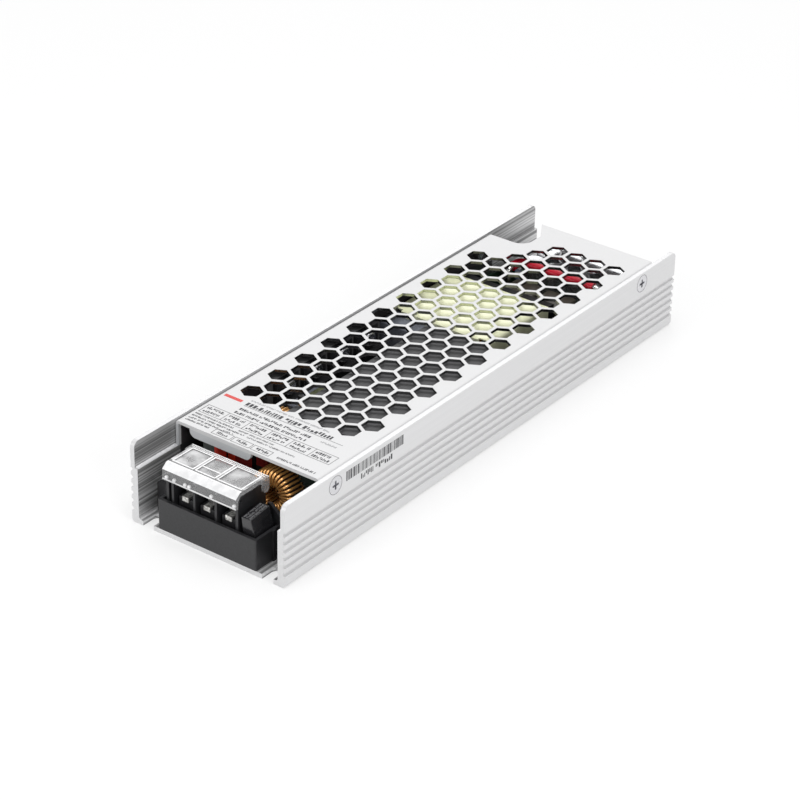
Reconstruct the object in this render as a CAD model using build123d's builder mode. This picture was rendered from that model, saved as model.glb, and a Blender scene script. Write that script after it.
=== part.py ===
"""Slim switching power supply in a ribbed aluminium channel with a perforated cover.

Millimetres. +X across the case, +Y from the input end to the output end, +Z up.
The origin is the middle of the underside.
"""
import os

from build123d import *

os.makedirs("parts", exist_ok=True)

# Case
length = 194.0
width = 55.0
height = 26.0
floor_thickness = 1.5
wall_thickness = 2.5
rim_thickness = 1.5
rim_height = 8.3
foot_radius = 1.2
root_radius = 1.0
wall_end_radius = 2.0

# Ribs on the outer walls: half-round grooves, counted down from the highest
groove_radius = 0.7
groove_pitch = 2.53
groove_below_ledge = 0.7
lowest_groove = 3.0

# Open mounting slots in the floor, two at each end
slot_width = 4.0
slot_depth = 6.0
slot_from_side = 6.0

# Cover: how far it stops short of each end, its sheet, lips and corner notch
input_bay = 17.0
output_bay = 10.4
cover_sheet = 1.0
cover_gap = 0.3
cover_drop = 0.2
cover_bend = 1.2
input_lip_left = -20.5
input_lip_right = 1.6
input_lip_drop = 3.5
output_lip_left = -11.0
output_lip_right = 21.0
output_lip_drop = 5.5
lip_radius = 2.0
notch_length = 16.2
notch_edge = -11.8
notch_flare = 4.6
notch_radius = 4.4

# Hexagonal vents, in staggered columns across the cover
vent_flats = 6.0
vent_pitch = 7.05
vent_column_pitch = 6.105
vent_side_margin = 1.5
vent_start = 25.8
vent_end_margin = 12.0
vent_shift = 1.76

# Cover screws, countersunk into the rims
screw_drop = 3.6
screw_head_radius = 2.7
screw_hole_radius = 1.6
screw_shank_radius = 1.4
screw_length = 5.0
screw_from_input = 21.9
screw_from_output = 19.1
left_screw_from_output = 35.0
thread_clearance = 0.05
cross_width = 0.7
cross_depth = 0.9

# Circuit board, its insulating liner and what carries it
board_base = 5.0
board_thickness = 1.6
board_gap = 0.5
board_end_gap = 8.4
nose_side_gap = 0.8
nose_end_gap = 1.6
standoff_radius = 2.6
standoff_recess = 0.1
standoff_edge = 3.5
standoff_from_end = 5.6
middle_standoff = 3.0
left_standoff_from_output = 38.5
board_screw_radius = 1.2
board_screw_head_radius = 2.5
board_screw_head = 1.8
board_screw_length = 4.5
board_hole_radius = 1.6
liner_thickness = 0.4
liner_gap = 0.4
liner_fold = 3.0
liner_end_gap = 10.0

# Tray round the input nose of the board, with its guard flange
tray_left_room = 1.3
tray_to_fuse = 0.2
tray_wall = 1.0
tray_height = 9.7
tray_clearance = 0.3
guard_inset = 4.5
guard_from_input = 10.4
guard_from_wall = 3.5
guard_height = 10.2
guard_low_height = 7.2
wing_gap = 0.8
wing_radius = 1.0

# Screw terminals, used at both ends
pole_pitch = 7.75
terminal_base = 2.4
divider_thickness = 0.8
end_wall_thickness = 0.9
rear_wall_thickness = 1.7
pedestal_width = 5.2
pedestal_height = 6.6
pedestal_setback = 1.2
contact_thickness = 0.8
tongue_width = 2.2
tongue_shift = 0.1
tongue_drop = 0.7
tongue_thickness = 0.5
clamp_size = 5.6
clamp_thickness = 1.0
terminal_screw_radius = 1.5
terminal_screw_head_radius = 2.6
terminal_screw_head = 2.0
terminal_screw_length = 4.0
terminal_fit = 0.2

# Input terminal block
input_poles = 3
input_first_divider = -13.2
input_side_channel = 2.3
input_front_gap = 1.2
input_screw_row = 7.1
input_block_depth = 11.8
input_divider_height = 13.8
input_wall_height = 14.6
input_wall_step = 1.6

# Output terminal block
output_poles = 4
output_front_gap = 0.6
output_screw_row = 3.5
output_block_depth = 8.2
output_divider_height = 9.0
output_wall_height = 10.6

# Hinged lid over the input terminals; heights are above the board
lid_height = 16.4
lid_thickness = 1.2
lid_lip_low = 11.7
lid_lip_high = 14.9
lid_lip_thickness = 1.0
lid_bevel = 1.8
lid_side = 0.9
lid_overhang = 0.3
lid_ear = 3.2
lid_side_gap = 0.2
lid_back_gap = 13.4
lid_pocket = 0.4
lid_bar = 1.1
lid_bar_shift = -1.6
lid_frame = 1.7
hinge_from_end = 12.2
hinge_height = 13.2
hinge_pin_radius = 0.9
hinge_clearance = 0.05
hinge_pin_length = 0.9
hinge_boss_radius = 1.7

# Input stage; places are from the input end, heights above the board
lead_radius = 0.35
fuse_from_block = 1.25
fuse_from_input = 5.5
fuse_width = 3.4
fuse_splay = 1.3
fuse_length = 8.2
fuse_height = 8.0
fuse_lift = 2.2
fuse_lean = 7.0
choke_x = 9.2
choke_from_input = 19.6
choke_headroom = 2.6
choke_ring = 5.4
choke_thickness = 7.4
choke_turns = 26
wire_thickness = 0.9
turn_share = 0.7
line_cap_from_wall = 10.4
line_cap_from_input = 20.8
line_cap_width = 5.4
line_cap_depth = 4.2
line_cap_headroom = 3.2
film_cap_x = -6.4
film_cap_from_input = 27.7
film_cap_width = 17.2
film_cap_depth = 8.5
film_cap_headroom = 2.2
filter_from_wall = 12.4
filter_from_input = 42.4
filter_radius = 8.4
filter_hole_radius = 3.0
filter_thickness = 12.0
filter_turns = 9
filter_gap = 36.0
filter_base = 1.6

# Primary side; places are from the input end
can_side_room = 0.5
can_headroom = 1.0
can_apart = 0.4
can_length = 34.0
can_from_input = 53.0
can_groove = 0.5
can_groove_place = 4.0
part_gap = 0.05
spreader_thickness = 1.2
spreader_from_wall = 18.3
spreader_from_input = 43.0
spreader_to_sink = 8.5
spreader_headroom = 1.2
spreader_leg_start = 27.0
spreader_leg_inset = 17.0
spreader_gap = 0.4
bridge_length = 20.0
bridge_thickness = 3.5
bridge_from_input = 28.5
sink_thickness = 3.0
sink_headroom = 1.8
sink_gap = 0.6
primary_sink_from_input = 52.0
primary_transistors = 4
primary_transistor_pitch = 12.6
transistor_width = 10.2
transistor_thickness = 4.5
transistor_body_share = 0.55
transistor_lift = 0.8
tab_margin = 0.2
tab_thickness = 1.3
sink_margin = 1.4
device_screw_radius = 1.4
device_screw_head_radius = 2.4
device_screw_head = 1.7
device_screw_length = 3.6
device_lead_width = 0.8
device_lead_pitch = 2.54

# Wound parts: centre, outer size and the ferrite's limbs
wound_fit = 0.1
flange_thickness = 1.2
tube_thickness = 0.5
standby_from_wall = 13.2
standby_from_input = 63.0
standby_width = 9.0
standby_length = 16.0
standby_height = 12.8
standby_yoke = 2.4
standby_limb = 1.6
standby_proud = 2.2
inductor_x = 4.0
inductor_from_input = 97.2
inductor_width = 23.0
inductor_length = 18.0
inductor_headroom = 0.8
inductor_yoke = 3.6
inductor_limb = 2.6
inductor_proud = 2.2
transformer_start = 106.95
transformer_to_chokes = 1.25
transformer_to_devices = 4.9
transformer_from_edge = 1.5
transformer_headroom = 2.6
transformer_yoke = 6.5
transformer_limb = 3.2
transformer_proud = 1.6
tape_thickness = 0.4

# Output side; places are from the output end
output_rectifiers = 3
rectifier_pitch = 11.2
output_sink_from_output = 75.5
coil_spacing = 12.0
coil_x = 2.0
coil_width = 11.0
coil_depth = 10.0
coil_height = 11.5
coil_corner = 1.5
coil_from_output = 38.3
bar_x = 3.75
bar_length = 30.5
bar_return = 6.5
bar_from_output = 29.4
bar_headroom = 3.3
bar_radius = 1.0
sleeve_radius = 1.5
sleeve_inset = 2.5
polymer_largest_radius = 4.0
polymer_headroom = 1.1
polymer_columns = 4
polymer_rows = 2
polymer_apart = 0.3
polymer_row_pitch = 8.4
polymer_to_trimmer = 0.2
polymer_to_screw = 0.6
polymer_from_output = 17.8
polymer_edge = 0.8
trimmer_from_wall = 7.0
trimmer_from_output = 19.8
trimmer_size = 5.6
trimmer_height = 4.4
rotor_height = 1.6
rotor_clearance = 0.05
rotor_radius = 1.9
rotor_slot = 0.7
lamp_from_wall = 3.0
lamp_from_output = 24.6
lamp_radius = 1.5
lamp_height = 5.0
daughter_x = -15.6
daughter_from_output = 34.0
daughter_length = 15.0
daughter_height = 13.0
daughter_thickness = 1.0

# Sizes that follow from the ones above
input_end = -length / 2
output_end = length / 2
wall_inner = width / 2 - wall_thickness
rim_inner = width / 2 - rim_thickness
ledge_height = height - rim_height
top_groove_height = ledge_height - groove_below_ledge
groove_count = int((top_groove_height - lowest_groove) / groove_pitch) + 1
slot_spacing = width - 2 * slot_from_side
board_top = board_base + board_thickness
board_half = wall_inner - board_gap
cover_start = input_end + input_bay
cover_end = output_end - output_bay
cover_top = height - cover_drop
cover_under = cover_top - cover_sheet
cover_outer = rim_inner - cover_gap
cover_inner = cover_outer - cover_sheet
vent_rows = int(2 * (cover_inner - vent_side_margin) / vent_pitch)
vent_columns = int((cover_end - cover_start - vent_start - vent_end_margin) / vent_column_pitch) + 1
screw_height = height - screw_drop
input_left = input_first_divider - input_side_channel
input_right = input_first_divider + input_poles * pole_pitch + divider_thickness / 2 - terminal_fit
fuse_left = input_right + fuse_from_block
tray_left = input_left - tray_left_room - tray_wall
tray_right = fuse_left + fuse_width + fuse_splay + tray_to_fuse + tray_wall
tray_centre = (tray_left + tray_right) / 2
tray_width = tray_right - tray_left
nose_width = tray_width - 2 * (tray_wall + nose_side_gap)
guard_left = tray_right - guard_inset
guard_right = wall_inner - guard_from_wall
wing_width = tray_left + wall_inner - wing_gap
standoff_x = board_half - standoff_edge
left_standoff = output_end - left_standoff_from_output
room = cover_under - board_top
choke_outer_radius = (room - choke_headroom) / 2
choke_hole_radius = choke_outer_radius - choke_ring
line_cap_x = line_cap_from_wall - wall_inner
bar_height = room - bar_headroom
filter_x = filter_from_wall - wall_inner
spreader_left = spreader_from_wall - wall_inner
spreader_right = wall_inner - spreader_gap
spreader_height = room - spreader_headroom
spreader_under = spreader_height - spreader_thickness
spreader_length = length - output_sink_from_output - spreader_to_sink - spreader_from_input
spreader_leg_end = spreader_from_input + spreader_length - spreader_leg_inset
can_radius = min(
    (spreader_right - spreader_thickness - spreader_left - can_side_room) / 4,
    (spreader_under - can_headroom) / 2,
)
can_spacing = 2 * can_radius + can_apart
can_x = spreader_left + can_radius + can_spacing / 2
sink_height = room - sink_headroom
transistor_body = transistor_body_share * sink_height
tab_height = sink_height - tab_margin - transistor_lift - transistor_body
device_front = wall_inner - sink_gap - sink_thickness - transistor_thickness
transformer_left = transformer_from_edge - board_half
transformer_right = device_front - transformer_to_devices
transformer_end = length - coil_from_output - coil_depth / 2 - transformer_to_chokes
trimmer_x = trimmer_from_wall - wall_inner
lamp_x = lamp_from_wall - wall_inner
polymer_left = trimmer_x + trimmer_size / 2 + polymer_to_trimmer
polymer_right = standoff_x - board_screw_head_radius - polymer_to_screw
polymer_column_pitch = (polymer_right - polymer_left + polymer_apart) / polymer_columns
polymer_radius = min(polymer_largest_radius, (polymer_column_pitch - polymer_apart) / 2)
polymer_x = (polymer_left + polymer_right) / 2
polymer_height = cover_top - output_lip_drop - polymer_headroom - board_top
standoff_places = [
    (-standoff_x, input_end + board_end_gap + standoff_from_end),
    (standoff_x, input_end + board_end_gap + standoff_from_end),
    (standoff_x, middle_standoff),
    (-standoff_x, left_standoff),
    (-standoff_x, output_end - board_end_gap - standoff_from_end),
    (standoff_x, output_end - board_end_gap - standoff_from_end),
]
cover_screw_places = [
    (1, input_end + screw_from_input),
    (-1, input_end + screw_from_input),
    (1, output_end - screw_from_output),
    (-1, output_end - left_screw_from_output),
]
low = (Align.CENTER, Align.CENTER, Align.MIN)
low_left = (Align.MIN, Align.CENTER, Align.MIN)
low_front = (Align.CENTER, Align.MIN, Align.MIN)
flat_low = (Align.CENTER, Align.MIN)


def save(piece, name):
    """Name a finished piece and write it to its own file."""
    piece.part.label = name
    export_step(piece.part, f"parts/{name}.step")


def on_wall(side, x, y, z):
    """A place on an outer or inner wall, facing along X towards the given side."""
    return Location((side * x, y, z), (0, 90 * side, 0))


def make_screw(head_radius, head, shank_radius, shank_length, countersunk=False):
    """A cross-head screw that points down, with the underside of its head at zero height."""
    with BuildPart() as screw:
        if countersunk:
            with Locations((0, 0, -head)):
                Cone(shank_radius, head_radius, head, align=low)
            top = 0
        else:
            Cylinder(head_radius, head, align=low)
            fillet(screw.edges().sort_by(Axis.Z)[-1], head / 2)
            top = head
        Cylinder(shank_radius, shank_length, align=(Align.CENTER, Align.CENTER, Align.MAX))
        with BuildSketch(Plane.XY.offset(top)):
            Rectangle(head_radius, cross_width)
            Rectangle(cross_width, head_radius)
        extrude(amount=-cross_depth, mode=Mode.SUBTRACT)
    return screw.part


def place_all(shape, places, name):
    """Put copies of one shape at each place and save them as one group."""
    with BuildPart() as group:
        with Locations(*places):
            add(shape)
    save(group, name)


# Base channel: one extrusion, a floor with two ribbed walls and a ledge inside each rim
with BuildPart() as base_channel:
    with BuildSketch(Plane.XZ) as channel_section:
        Rectangle(width, height, align=flat_low)
        fillet(channel_section.vertices().group_by(Axis.Y)[0], foot_radius)
        with BuildSketch(mode=Mode.SUBTRACT) as channel_space:
            with Locations((0, floor_thickness)):
                Rectangle(2 * wall_inner, height, align=flat_low)
            fillet(channel_space.vertices().group_by(Axis.Y)[0], root_radius)
        with Locations((0, ledge_height)):
            Rectangle(2 * rim_inner, height, align=flat_low, mode=Mode.SUBTRACT)
        for row in range(groove_count):
            with Locations((0, top_groove_height - row * groove_pitch)):
                with GridLocations(width, 0, 2, 1):
                    Circle(groove_radius, mode=Mode.SUBTRACT)
    extrude(amount=length / 2, both=True)
    fillet(base_channel.edges().filter_by(Axis.X).group_by(Axis.Z)[-1], wall_end_radius)
    with BuildSketch() as end_slots:
        with GridLocations(slot_spacing, length, 2, 2):
            SlotOverall(2 * slot_depth, slot_width, rotation=90)
    extrude(amount=floor_thickness, mode=Mode.SUBTRACT)
    with BuildSketch() as standoff_holes:
        with Locations(*standoff_places):
            Circle(standoff_radius + thread_clearance)
    extrude(amount=floor_thickness, mode=Mode.SUBTRACT)
    with Locations(*[on_wall(side, width / 2, y, screw_height) for side, y in cover_screw_places]):
        CounterSinkHole(
            screw_hole_radius, screw_head_radius + thread_clearance,
            depth=rim_thickness, counter_sink_angle=90,
        )
save(base_channel, "base_channel")


# Perforated cover: a shallow inverted channel that stands on the two ledges
with BuildPart() as top_cover:
    with BuildSketch(Plane.XZ.offset(-cover_end)) as cover_section:
        with Locations((0, ledge_height)):
            Rectangle(2 * cover_outer, cover_top - ledge_height, align=flat_low)
        fillet(cover_section.vertices().group_by(Axis.Y)[-1], cover_bend)
        with Locations((0, ledge_height)):
            Rectangle(2 * cover_inner, cover_under - ledge_height, align=flat_low, mode=Mode.SUBTRACT)
    extrude(amount=cover_end - cover_start)

    # The notch: a rounded corner and an edge that flares back towards the wall
    with BuildSketch(Plane.XY.offset(ledge_height)):
        notch_start = cover_end - notch_length
        bend_end = notch_start + 2 * notch_radius
        notch_tip = notch_edge - notch_flare
        with BuildLine():
            FilletPolyline(
                (-cover_outer - 1, notch_start), (notch_edge, notch_start),
                (notch_edge, bend_end), radius=notch_radius,
            )
            Polyline(
                (notch_edge, bend_end), (notch_tip, cover_end), (notch_tip, cover_end + 1),
                (-cover_outer - 1, cover_end + 1), (-cover_outer - 1, notch_start),
            )
        make_face()
    extrude(amount=height - ledge_height, mode=Mode.SUBTRACT)

    # Vents: the last three columns give way to the notch
    with BuildSketch(Plane.XY.offset(cover_under)):
        for column in range(vent_columns):
            shift = -vent_shift if column % 2 == 0 else vent_shift
            dropped = {vent_columns - 3: 1, vent_columns - 2: 2, vent_columns - 1: 2}.get(column, 0)
            places = [
                ((row - (vent_rows - 1) / 2) * vent_pitch + shift,
                 cover_start + vent_start + column * vent_column_pitch)
                for row in range(dropped, vent_rows)
            ]
            with Locations(*places):
                RegularPolygon(vent_flats / 2, 6, major_radius=False, rotation=30)
    extrude(amount=cover_sheet, mode=Mode.SUBTRACT)

    # Lips bent down at both ends
    with BuildSketch(Plane.XZ.offset(-cover_start)) as input_lip:
        with Locations(((input_lip_left + input_lip_right) / 2, cover_top - input_lip_drop)):
            Rectangle(input_lip_right - input_lip_left, input_lip_drop - cover_sheet / 2, align=flat_low)
        fillet(input_lip.vertices().group_by(Axis.Y)[0], lip_radius)
    extrude(amount=-cover_sheet)
    with BuildSketch(Plane.XZ.offset(-cover_end)) as output_lip:
        with Locations(((output_lip_left + output_lip_right) / 2, cover_top - output_lip_drop)):
            Rectangle(output_lip_right - output_lip_left, output_lip_drop - cover_sheet / 2, align=flat_low)
        fillet(output_lip.vertices().group_by(Axis.Y)[0], lip_radius)
    extrude(amount=cover_sheet)
    with Locations(*[on_wall(side, cover_outer, y, screw_height) for side, y in cover_screw_places]):
        Hole(screw_shank_radius + thread_clearance, depth=2 * cover_sheet)
save(top_cover, "top_cover")

place_all(
    make_screw(
        screw_head_radius, screw_head_radius - screw_shank_radius,
        screw_shank_radius, screw_length, countersunk=True,
    ),
    [on_wall(side, width / 2, y, screw_height) for side, y in cover_screw_places],
    "cover_screws",
)


# Standoffs pressed into the floor, flush with the underside, and tapped from above
with BuildPart() as board_standoffs:
    with Locations(*[(x, y, standoff_recess) for x, y in standoff_places]):
        Cylinder(standoff_radius, board_base - standoff_recess, align=low)
    with Locations(*[(x, y, board_base) for x, y in standoff_places]):
        Hole(board_screw_radius + thread_clearance, depth=board_screw_length)
save(board_standoffs, "board_standoffs")


# Insulating liner: one thin sheet on the floor with its long edges folded up
with BuildPart() as board_liner:
    with BuildSketch(Plane.XZ) as liner_section:
        with Locations((0, floor_thickness)):
            Rectangle(2 * (wall_inner - liner_gap), liner_fold, align=flat_low)
        fillet(liner_section.vertices().group_by(Axis.Y)[0], root_radius)
        with BuildSketch(mode=Mode.SUBTRACT) as liner_space:
            with Locations((0, floor_thickness + liner_thickness)):
                Rectangle(2 * (wall_inner - liner_gap - liner_thickness), liner_fold, align=flat_low)
            fillet(liner_space.vertices().group_by(Axis.Y)[0], root_radius - liner_thickness)
    extrude(amount=length / 2 - liner_end_gap, both=True)
    with BuildSketch(Plane.XY.offset(floor_thickness)):
        with Locations(*standoff_places):
            Circle(standoff_radius + liner_gap)
    extrude(amount=liner_thickness, mode=Mode.SUBTRACT)
save(board_liner, "board_liner")


# Circuit board: full width in the middle, a narrow nose between the slots at each end
with BuildPart() as circuit_board:
    with BuildSketch(Plane.XY.offset(board_base)) as board_outline:
        Rectangle(2 * board_half, length - 2 * board_end_gap)
        with Locations((tray_centre, 0)):
            Rectangle(nose_width, length - 2 * nose_end_gap)
        fillet(board_outline.vertices().group_by(Axis.Y)[0], 0.8)
        fillet(board_outline.vertices().group_by(Axis.Y)[-1], 0.8)
        with Locations(*standoff_places):
            Circle(board_hole_radius, mode=Mode.SUBTRACT)
    extrude(amount=board_thickness)
save(circuit_board, "circuit_board")

place_all(
    make_screw(board_screw_head_radius, board_screw_head, board_screw_radius, board_screw_length),
    [(x, y, board_top) for x, y in standoff_places],
    "board_screws",
)


# Tray: an open-backed moulding round the board's input nose, with a guard flange behind it
with BuildPart() as terminal_tray:
    wall_end = input_end + board_end_gap - tray_clearance
    guard_front = input_end + guard_from_input
    guard_back = guard_front + tray_wall
    with Locations((tray_centre, input_end, floor_thickness)):
        Box(tray_width, wall_end - input_end, tray_height, align=low_front)
    with Locations((tray_centre, input_end + tray_wall, floor_thickness + tray_wall)):
        Box(tray_width - 2 * tray_wall, length, tray_height, align=low_front, mode=Mode.SUBTRACT)
    fillet(terminal_tray.edges().filter_by(Axis.Z).group_by(Axis.Y)[0], 0.5)
    with Locations((tray_right - tray_wall, wall_end, board_top)):
        Box(
            tray_wall, guard_back - wall_end, floor_thickness + tray_height - board_top,
            align=(Align.MIN, Align.MIN, Align.MIN),
        )
    with Locations((tray_right, wall_end, floor_thickness)):
        Box(0.6, 1.2, tray_height, align=(Align.MIN, Align.MAX, Align.MIN))
    with BuildSketch(Plane.XZ.offset(-guard_back)):
        with BuildLine():
            Polyline(
                (guard_left, board_top), (guard_right, board_top),
                (guard_right, board_top + guard_low_height - 2 * tray_wall),
                (tray_right, board_top + guard_low_height),
                (guard_left + tray_wall, board_top + guard_height),
                (guard_left, board_top + guard_height), close=True,
            )
        make_face()
    extrude(amount=tray_wall)
    with BuildSketch(Plane.XZ.offset(-wall_end)) as wing:
        with Locations((tray_left + tray_wall, floor_thickness)):
            Rectangle(wing_width + tray_wall, tray_height, align=(Align.MAX, Align.MIN))
        fillet(wing.vertices().group_by(Axis.Y)[-1].sort_by(Axis.X)[0], wing_radius)
    extrude(amount=tray_wall)
save(terminal_tray, "terminal_tray")


def terminal_block(
    prefix, frame, poles, first, sides, depth, screw_row, divider_height, wall_height, step=0.0,
):
    """Model a screw terminal block in its own frame: X across, Y into the case, Z up from the board.

    The first divider stands at `first`, and `sides` are the block's two ends.
    Returns the body, still to be finished and saved.
    """
    left, right = sides
    middles = [first + (pole + 0.5) * pole_pitch for pole in range(poles)]
    wall_front = depth - rear_wall_thickness
    contact_back = wall_front - terminal_fit
    contact_front = pedestal_setback + terminal_fit
    contact_top = pedestal_height + contact_thickness
    clamp_top = contact_top + clamp_thickness
    with BuildPart(frame) as body:
        with Locations((left, 0, 0)):
            Box(right - left, depth, terminal_base, align=(Align.MIN, Align.MIN, Align.MIN))
        with Locations((left, wall_front, 0)):
            Box(right - left, rear_wall_thickness, wall_height, align=(Align.MIN, Align.MIN, Align.MIN))
        with Locations(*[(first + pole * pole_pitch, 0, 0) for pole in range(poles)]):
            Box(divider_thickness, depth, divider_height, align=low_front)
        with Locations((left, 0, 0), (right - end_wall_thickness, 0, 0)):
            Box(end_wall_thickness, depth, wall_height, align=(Align.MIN, Align.MIN, Align.MIN))
        if step:
            with Locations((left, 0, wall_height - step)):
                Box(
                    right - left, step, step,
                    align=(Align.MIN, Align.MIN, Align.MIN), mode=Mode.SUBTRACT,
                )
        with Locations(*[(x, pedestal_setback, 0) for x in middles]):
            Box(pedestal_width, depth - pedestal_setback, pedestal_height, align=low_front)
        with Locations(*[(x, screw_row, pedestal_height) for x in middles]):
            Hole(terminal_screw_radius + thread_clearance, depth=terminal_screw_length)
    plate_front = max(contact_front, screw_row - clamp_size / 2)
    with BuildPart(frame) as contacts:
        tongue_front = pedestal_setback - part_gap - tongue_thickness
        with Locations(*[(x + tongue_shift, tongue_front, pedestal_height) for x in middles]):
            Box(tongue_width, contact_back - tongue_front, contact_thickness, align=low_front)
        with Locations(*[(x + tongue_shift, tongue_front, pedestal_height - tongue_drop) for x in middles]):
            Box(tongue_width, tongue_thickness, tongue_drop, align=low_front)
        with Locations(*[(x, plate_front, pedestal_height) for x in middles]):
            Box(pedestal_width, contact_back - plate_front, contact_thickness, align=low_front)
        with Locations(*[(x, screw_row, contact_top) for x in middles]):
            Hole(terminal_screw_radius + terminal_fit)
    save(contacts, f"{prefix}_contacts")
    with BuildPart(frame) as clamps:
        with Locations(*[(x, screw_row, contact_top) for x in middles]):
            Box(clamp_size, clamp_size, clamp_thickness, align=low)
        chamfer(clamps.edges().filter_by(Axis.X).group_by(Axis.Z)[-1], clamp_thickness / 2)
        with Locations(*[(x, screw_row, clamp_top) for x in middles]):
            Hole(terminal_screw_radius + terminal_fit)
    save(clamps, f"{prefix}_clamps")
    screw = make_screw(
        terminal_screw_head_radius, terminal_screw_head, terminal_screw_radius, terminal_screw_length,
    )
    with BuildPart(frame) as screws:
        with Locations(*[(x, screw_row, clamp_top) for x in middles]):
            add(screw)
    save(screws, f"{prefix}_screws")
    return body


# Input terminal block: end walls with round bosses that carry the lid's pins
input_frame = Plane((0, input_end + input_front_gap, board_top), x_dir=(1, 0, 0), z_dir=(0, 0, 1))
input_body = terminal_block(
    "input_terminal", input_frame, input_poles, input_first_divider, (input_left, input_right),
    input_block_depth, input_screw_row, input_divider_height, input_wall_height, step=input_wall_step,
)
hinge_y = input_end + hinge_from_end
hinge_z = board_top + hinge_height
with BuildPart() as input_terminal_body:
    add(input_body.part)
    for wall_left in (input_left, input_right - end_wall_thickness):
        with BuildSketch(Plane((wall_left, hinge_y, hinge_z), x_dir=(0, 1, 0), z_dir=(1, 0, 0))):
            Circle(hinge_boss_radius)
        extrude(amount=end_wall_thickness)
        with BuildSketch(Plane((wall_left, hinge_y, hinge_z), x_dir=(0, 1, 0), z_dir=(1, 0, 0))):
            Circle(hinge_pin_radius + hinge_clearance)
        extrude(amount=end_wall_thickness, mode=Mode.SUBTRACT)
save(input_terminal_body, "input_terminal_body")


# Output terminal block: the same parts, turned round and lower
output_frame = Plane((0, output_end - output_front_gap, board_top), x_dir=(-1, 0, 0), z_dir=(0, 0, 1))
output_half = output_poles * pole_pitch / 2
output_body = terminal_block(
    "output_terminal", output_frame, output_poles, -output_half,
    (-output_half - divider_thickness / 2, output_half + divider_thickness / 2),
    output_block_depth, output_screw_row, output_divider_height, output_wall_height,
)
save(output_body, "output_terminal_body")


# Terminal lid: one bent section with three framed pockets, and two arms with hinge pins
with BuildPart() as terminal_lid:
    lid_left = input_left - lid_side
    lid_right = input_right + lid_side
    lid_top = board_top + lid_height
    lid_under = lid_top - lid_thickness
    lid_back = input_end + lid_back_gap
    lip_bottom = board_top + lid_lip_low
    lip_top = board_top + lid_lip_high
    with BuildSketch(Plane.YZ.offset(lid_left)):
        with BuildLine():
            Polyline(
                (input_end, lip_bottom), (input_end, lip_top), (input_end + lid_bevel, lid_top),
                (lid_back, lid_top), (lid_back, lid_under), (input_end + lid_bevel + 0.4, lid_under),
                (input_end + lid_lip_thickness, lip_top - 0.5), (input_end + lid_lip_thickness, lip_bottom),
                close=True,
            )
        make_face()
    extrude(amount=lid_right - lid_left)
    arm_width = lid_side - lid_side_gap
    for arm_left, inward in ((lid_left, 1), (lid_right - arm_width, -1)):
        with BuildSketch(Plane.YZ.offset(arm_left)):
            with Locations((hinge_y, hinge_z)):
                Circle(hinge_clearance + hinge_pin_radius + 0.35)
            with Locations((hinge_y, hinge_z)):
                Rectangle(
                    2 * (hinge_clearance + hinge_pin_radius + 0.35), lid_under - hinge_z, align=flat_low,
                )
        extrude(amount=arm_width)
        pin_start = arm_left + (arm_width if inward > 0 else 0)
        with BuildSketch(Plane((pin_start, hinge_y, hinge_z), x_dir=(0, 1, 0), z_dir=(inward, 0, 0))):
            Circle(hinge_pin_radius)
        extrude(amount=hinge_pin_length)
    ear_front = lid_back - lid_ear
    for side_edge, outward in (
        (input_left - lid_overhang, Align.MAX),
        (input_right + lid_overhang, Align.MIN),
    ):
        with Locations((side_edge, input_end - 1, lip_bottom - 1)):
            Box(
                lid_side, ear_front - input_end + 1, lid_top - lip_bottom + 2,
                align=(outward, Align.MIN, Align.MIN), mode=Mode.SUBTRACT,
            )
    pocket_front = input_end + lid_bevel + lid_frame
    pocket_back = lid_back - lid_frame
    bars = [input_first_divider + lid_bar_shift + pole * pole_pitch for pole in range(1, input_poles)]
    edges = [lid_left + lid_frame] + [x for bar in bars for x in (bar - lid_bar / 2, bar + lid_bar / 2)]
    edges.append(lid_right - lid_frame)
    with BuildSketch(Plane.XY.offset(lid_top)) as lid_pockets:
        for pocket_left, pocket_right in zip(edges[::2], edges[1::2]):
            with Locations(((pocket_left + pocket_right) / 2, (pocket_front + pocket_back) / 2)):
                Rectangle(pocket_right - pocket_left, pocket_back - pocket_front)
    extrude(amount=-lid_pocket, mode=Mode.SUBTRACT)
save(terminal_lid, "terminal_lid")


# Input fuse: a box with one sloped side, on two leads, that leans out over the terminals
with BuildPart() as input_fuse:
    fuse_y = input_end + fuse_from_input
    fuse_x = fuse_left + fuse_width / 2
    fuse_middle = Location((fuse_x, fuse_y, board_top + fuse_lift + fuse_height / 2), (90 + fuse_lean, 0, 0))
    with BuildSketch(Plane(fuse_middle)):
        with BuildLine():
            Polyline(
                (-fuse_width / 2, -fuse_height / 2), (fuse_width / 2 + fuse_splay, -fuse_height / 2),
                (fuse_width / 2, fuse_height / 2), (-fuse_width / 2, fuse_height / 2), close=True,
            )
        make_face()
    extrude(amount=fuse_length / 2, both=True)
    fillet(input_fuse.edges(), 0.3)
    with Locations(*[(fuse_x, fuse_y + end * fuse_length / 4, board_top) for end in (-1, 1)]):
        Cylinder(lead_radius, fuse_lift + fuse_height / 2, align=low)
save(input_fuse, "input_fuse")


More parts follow.
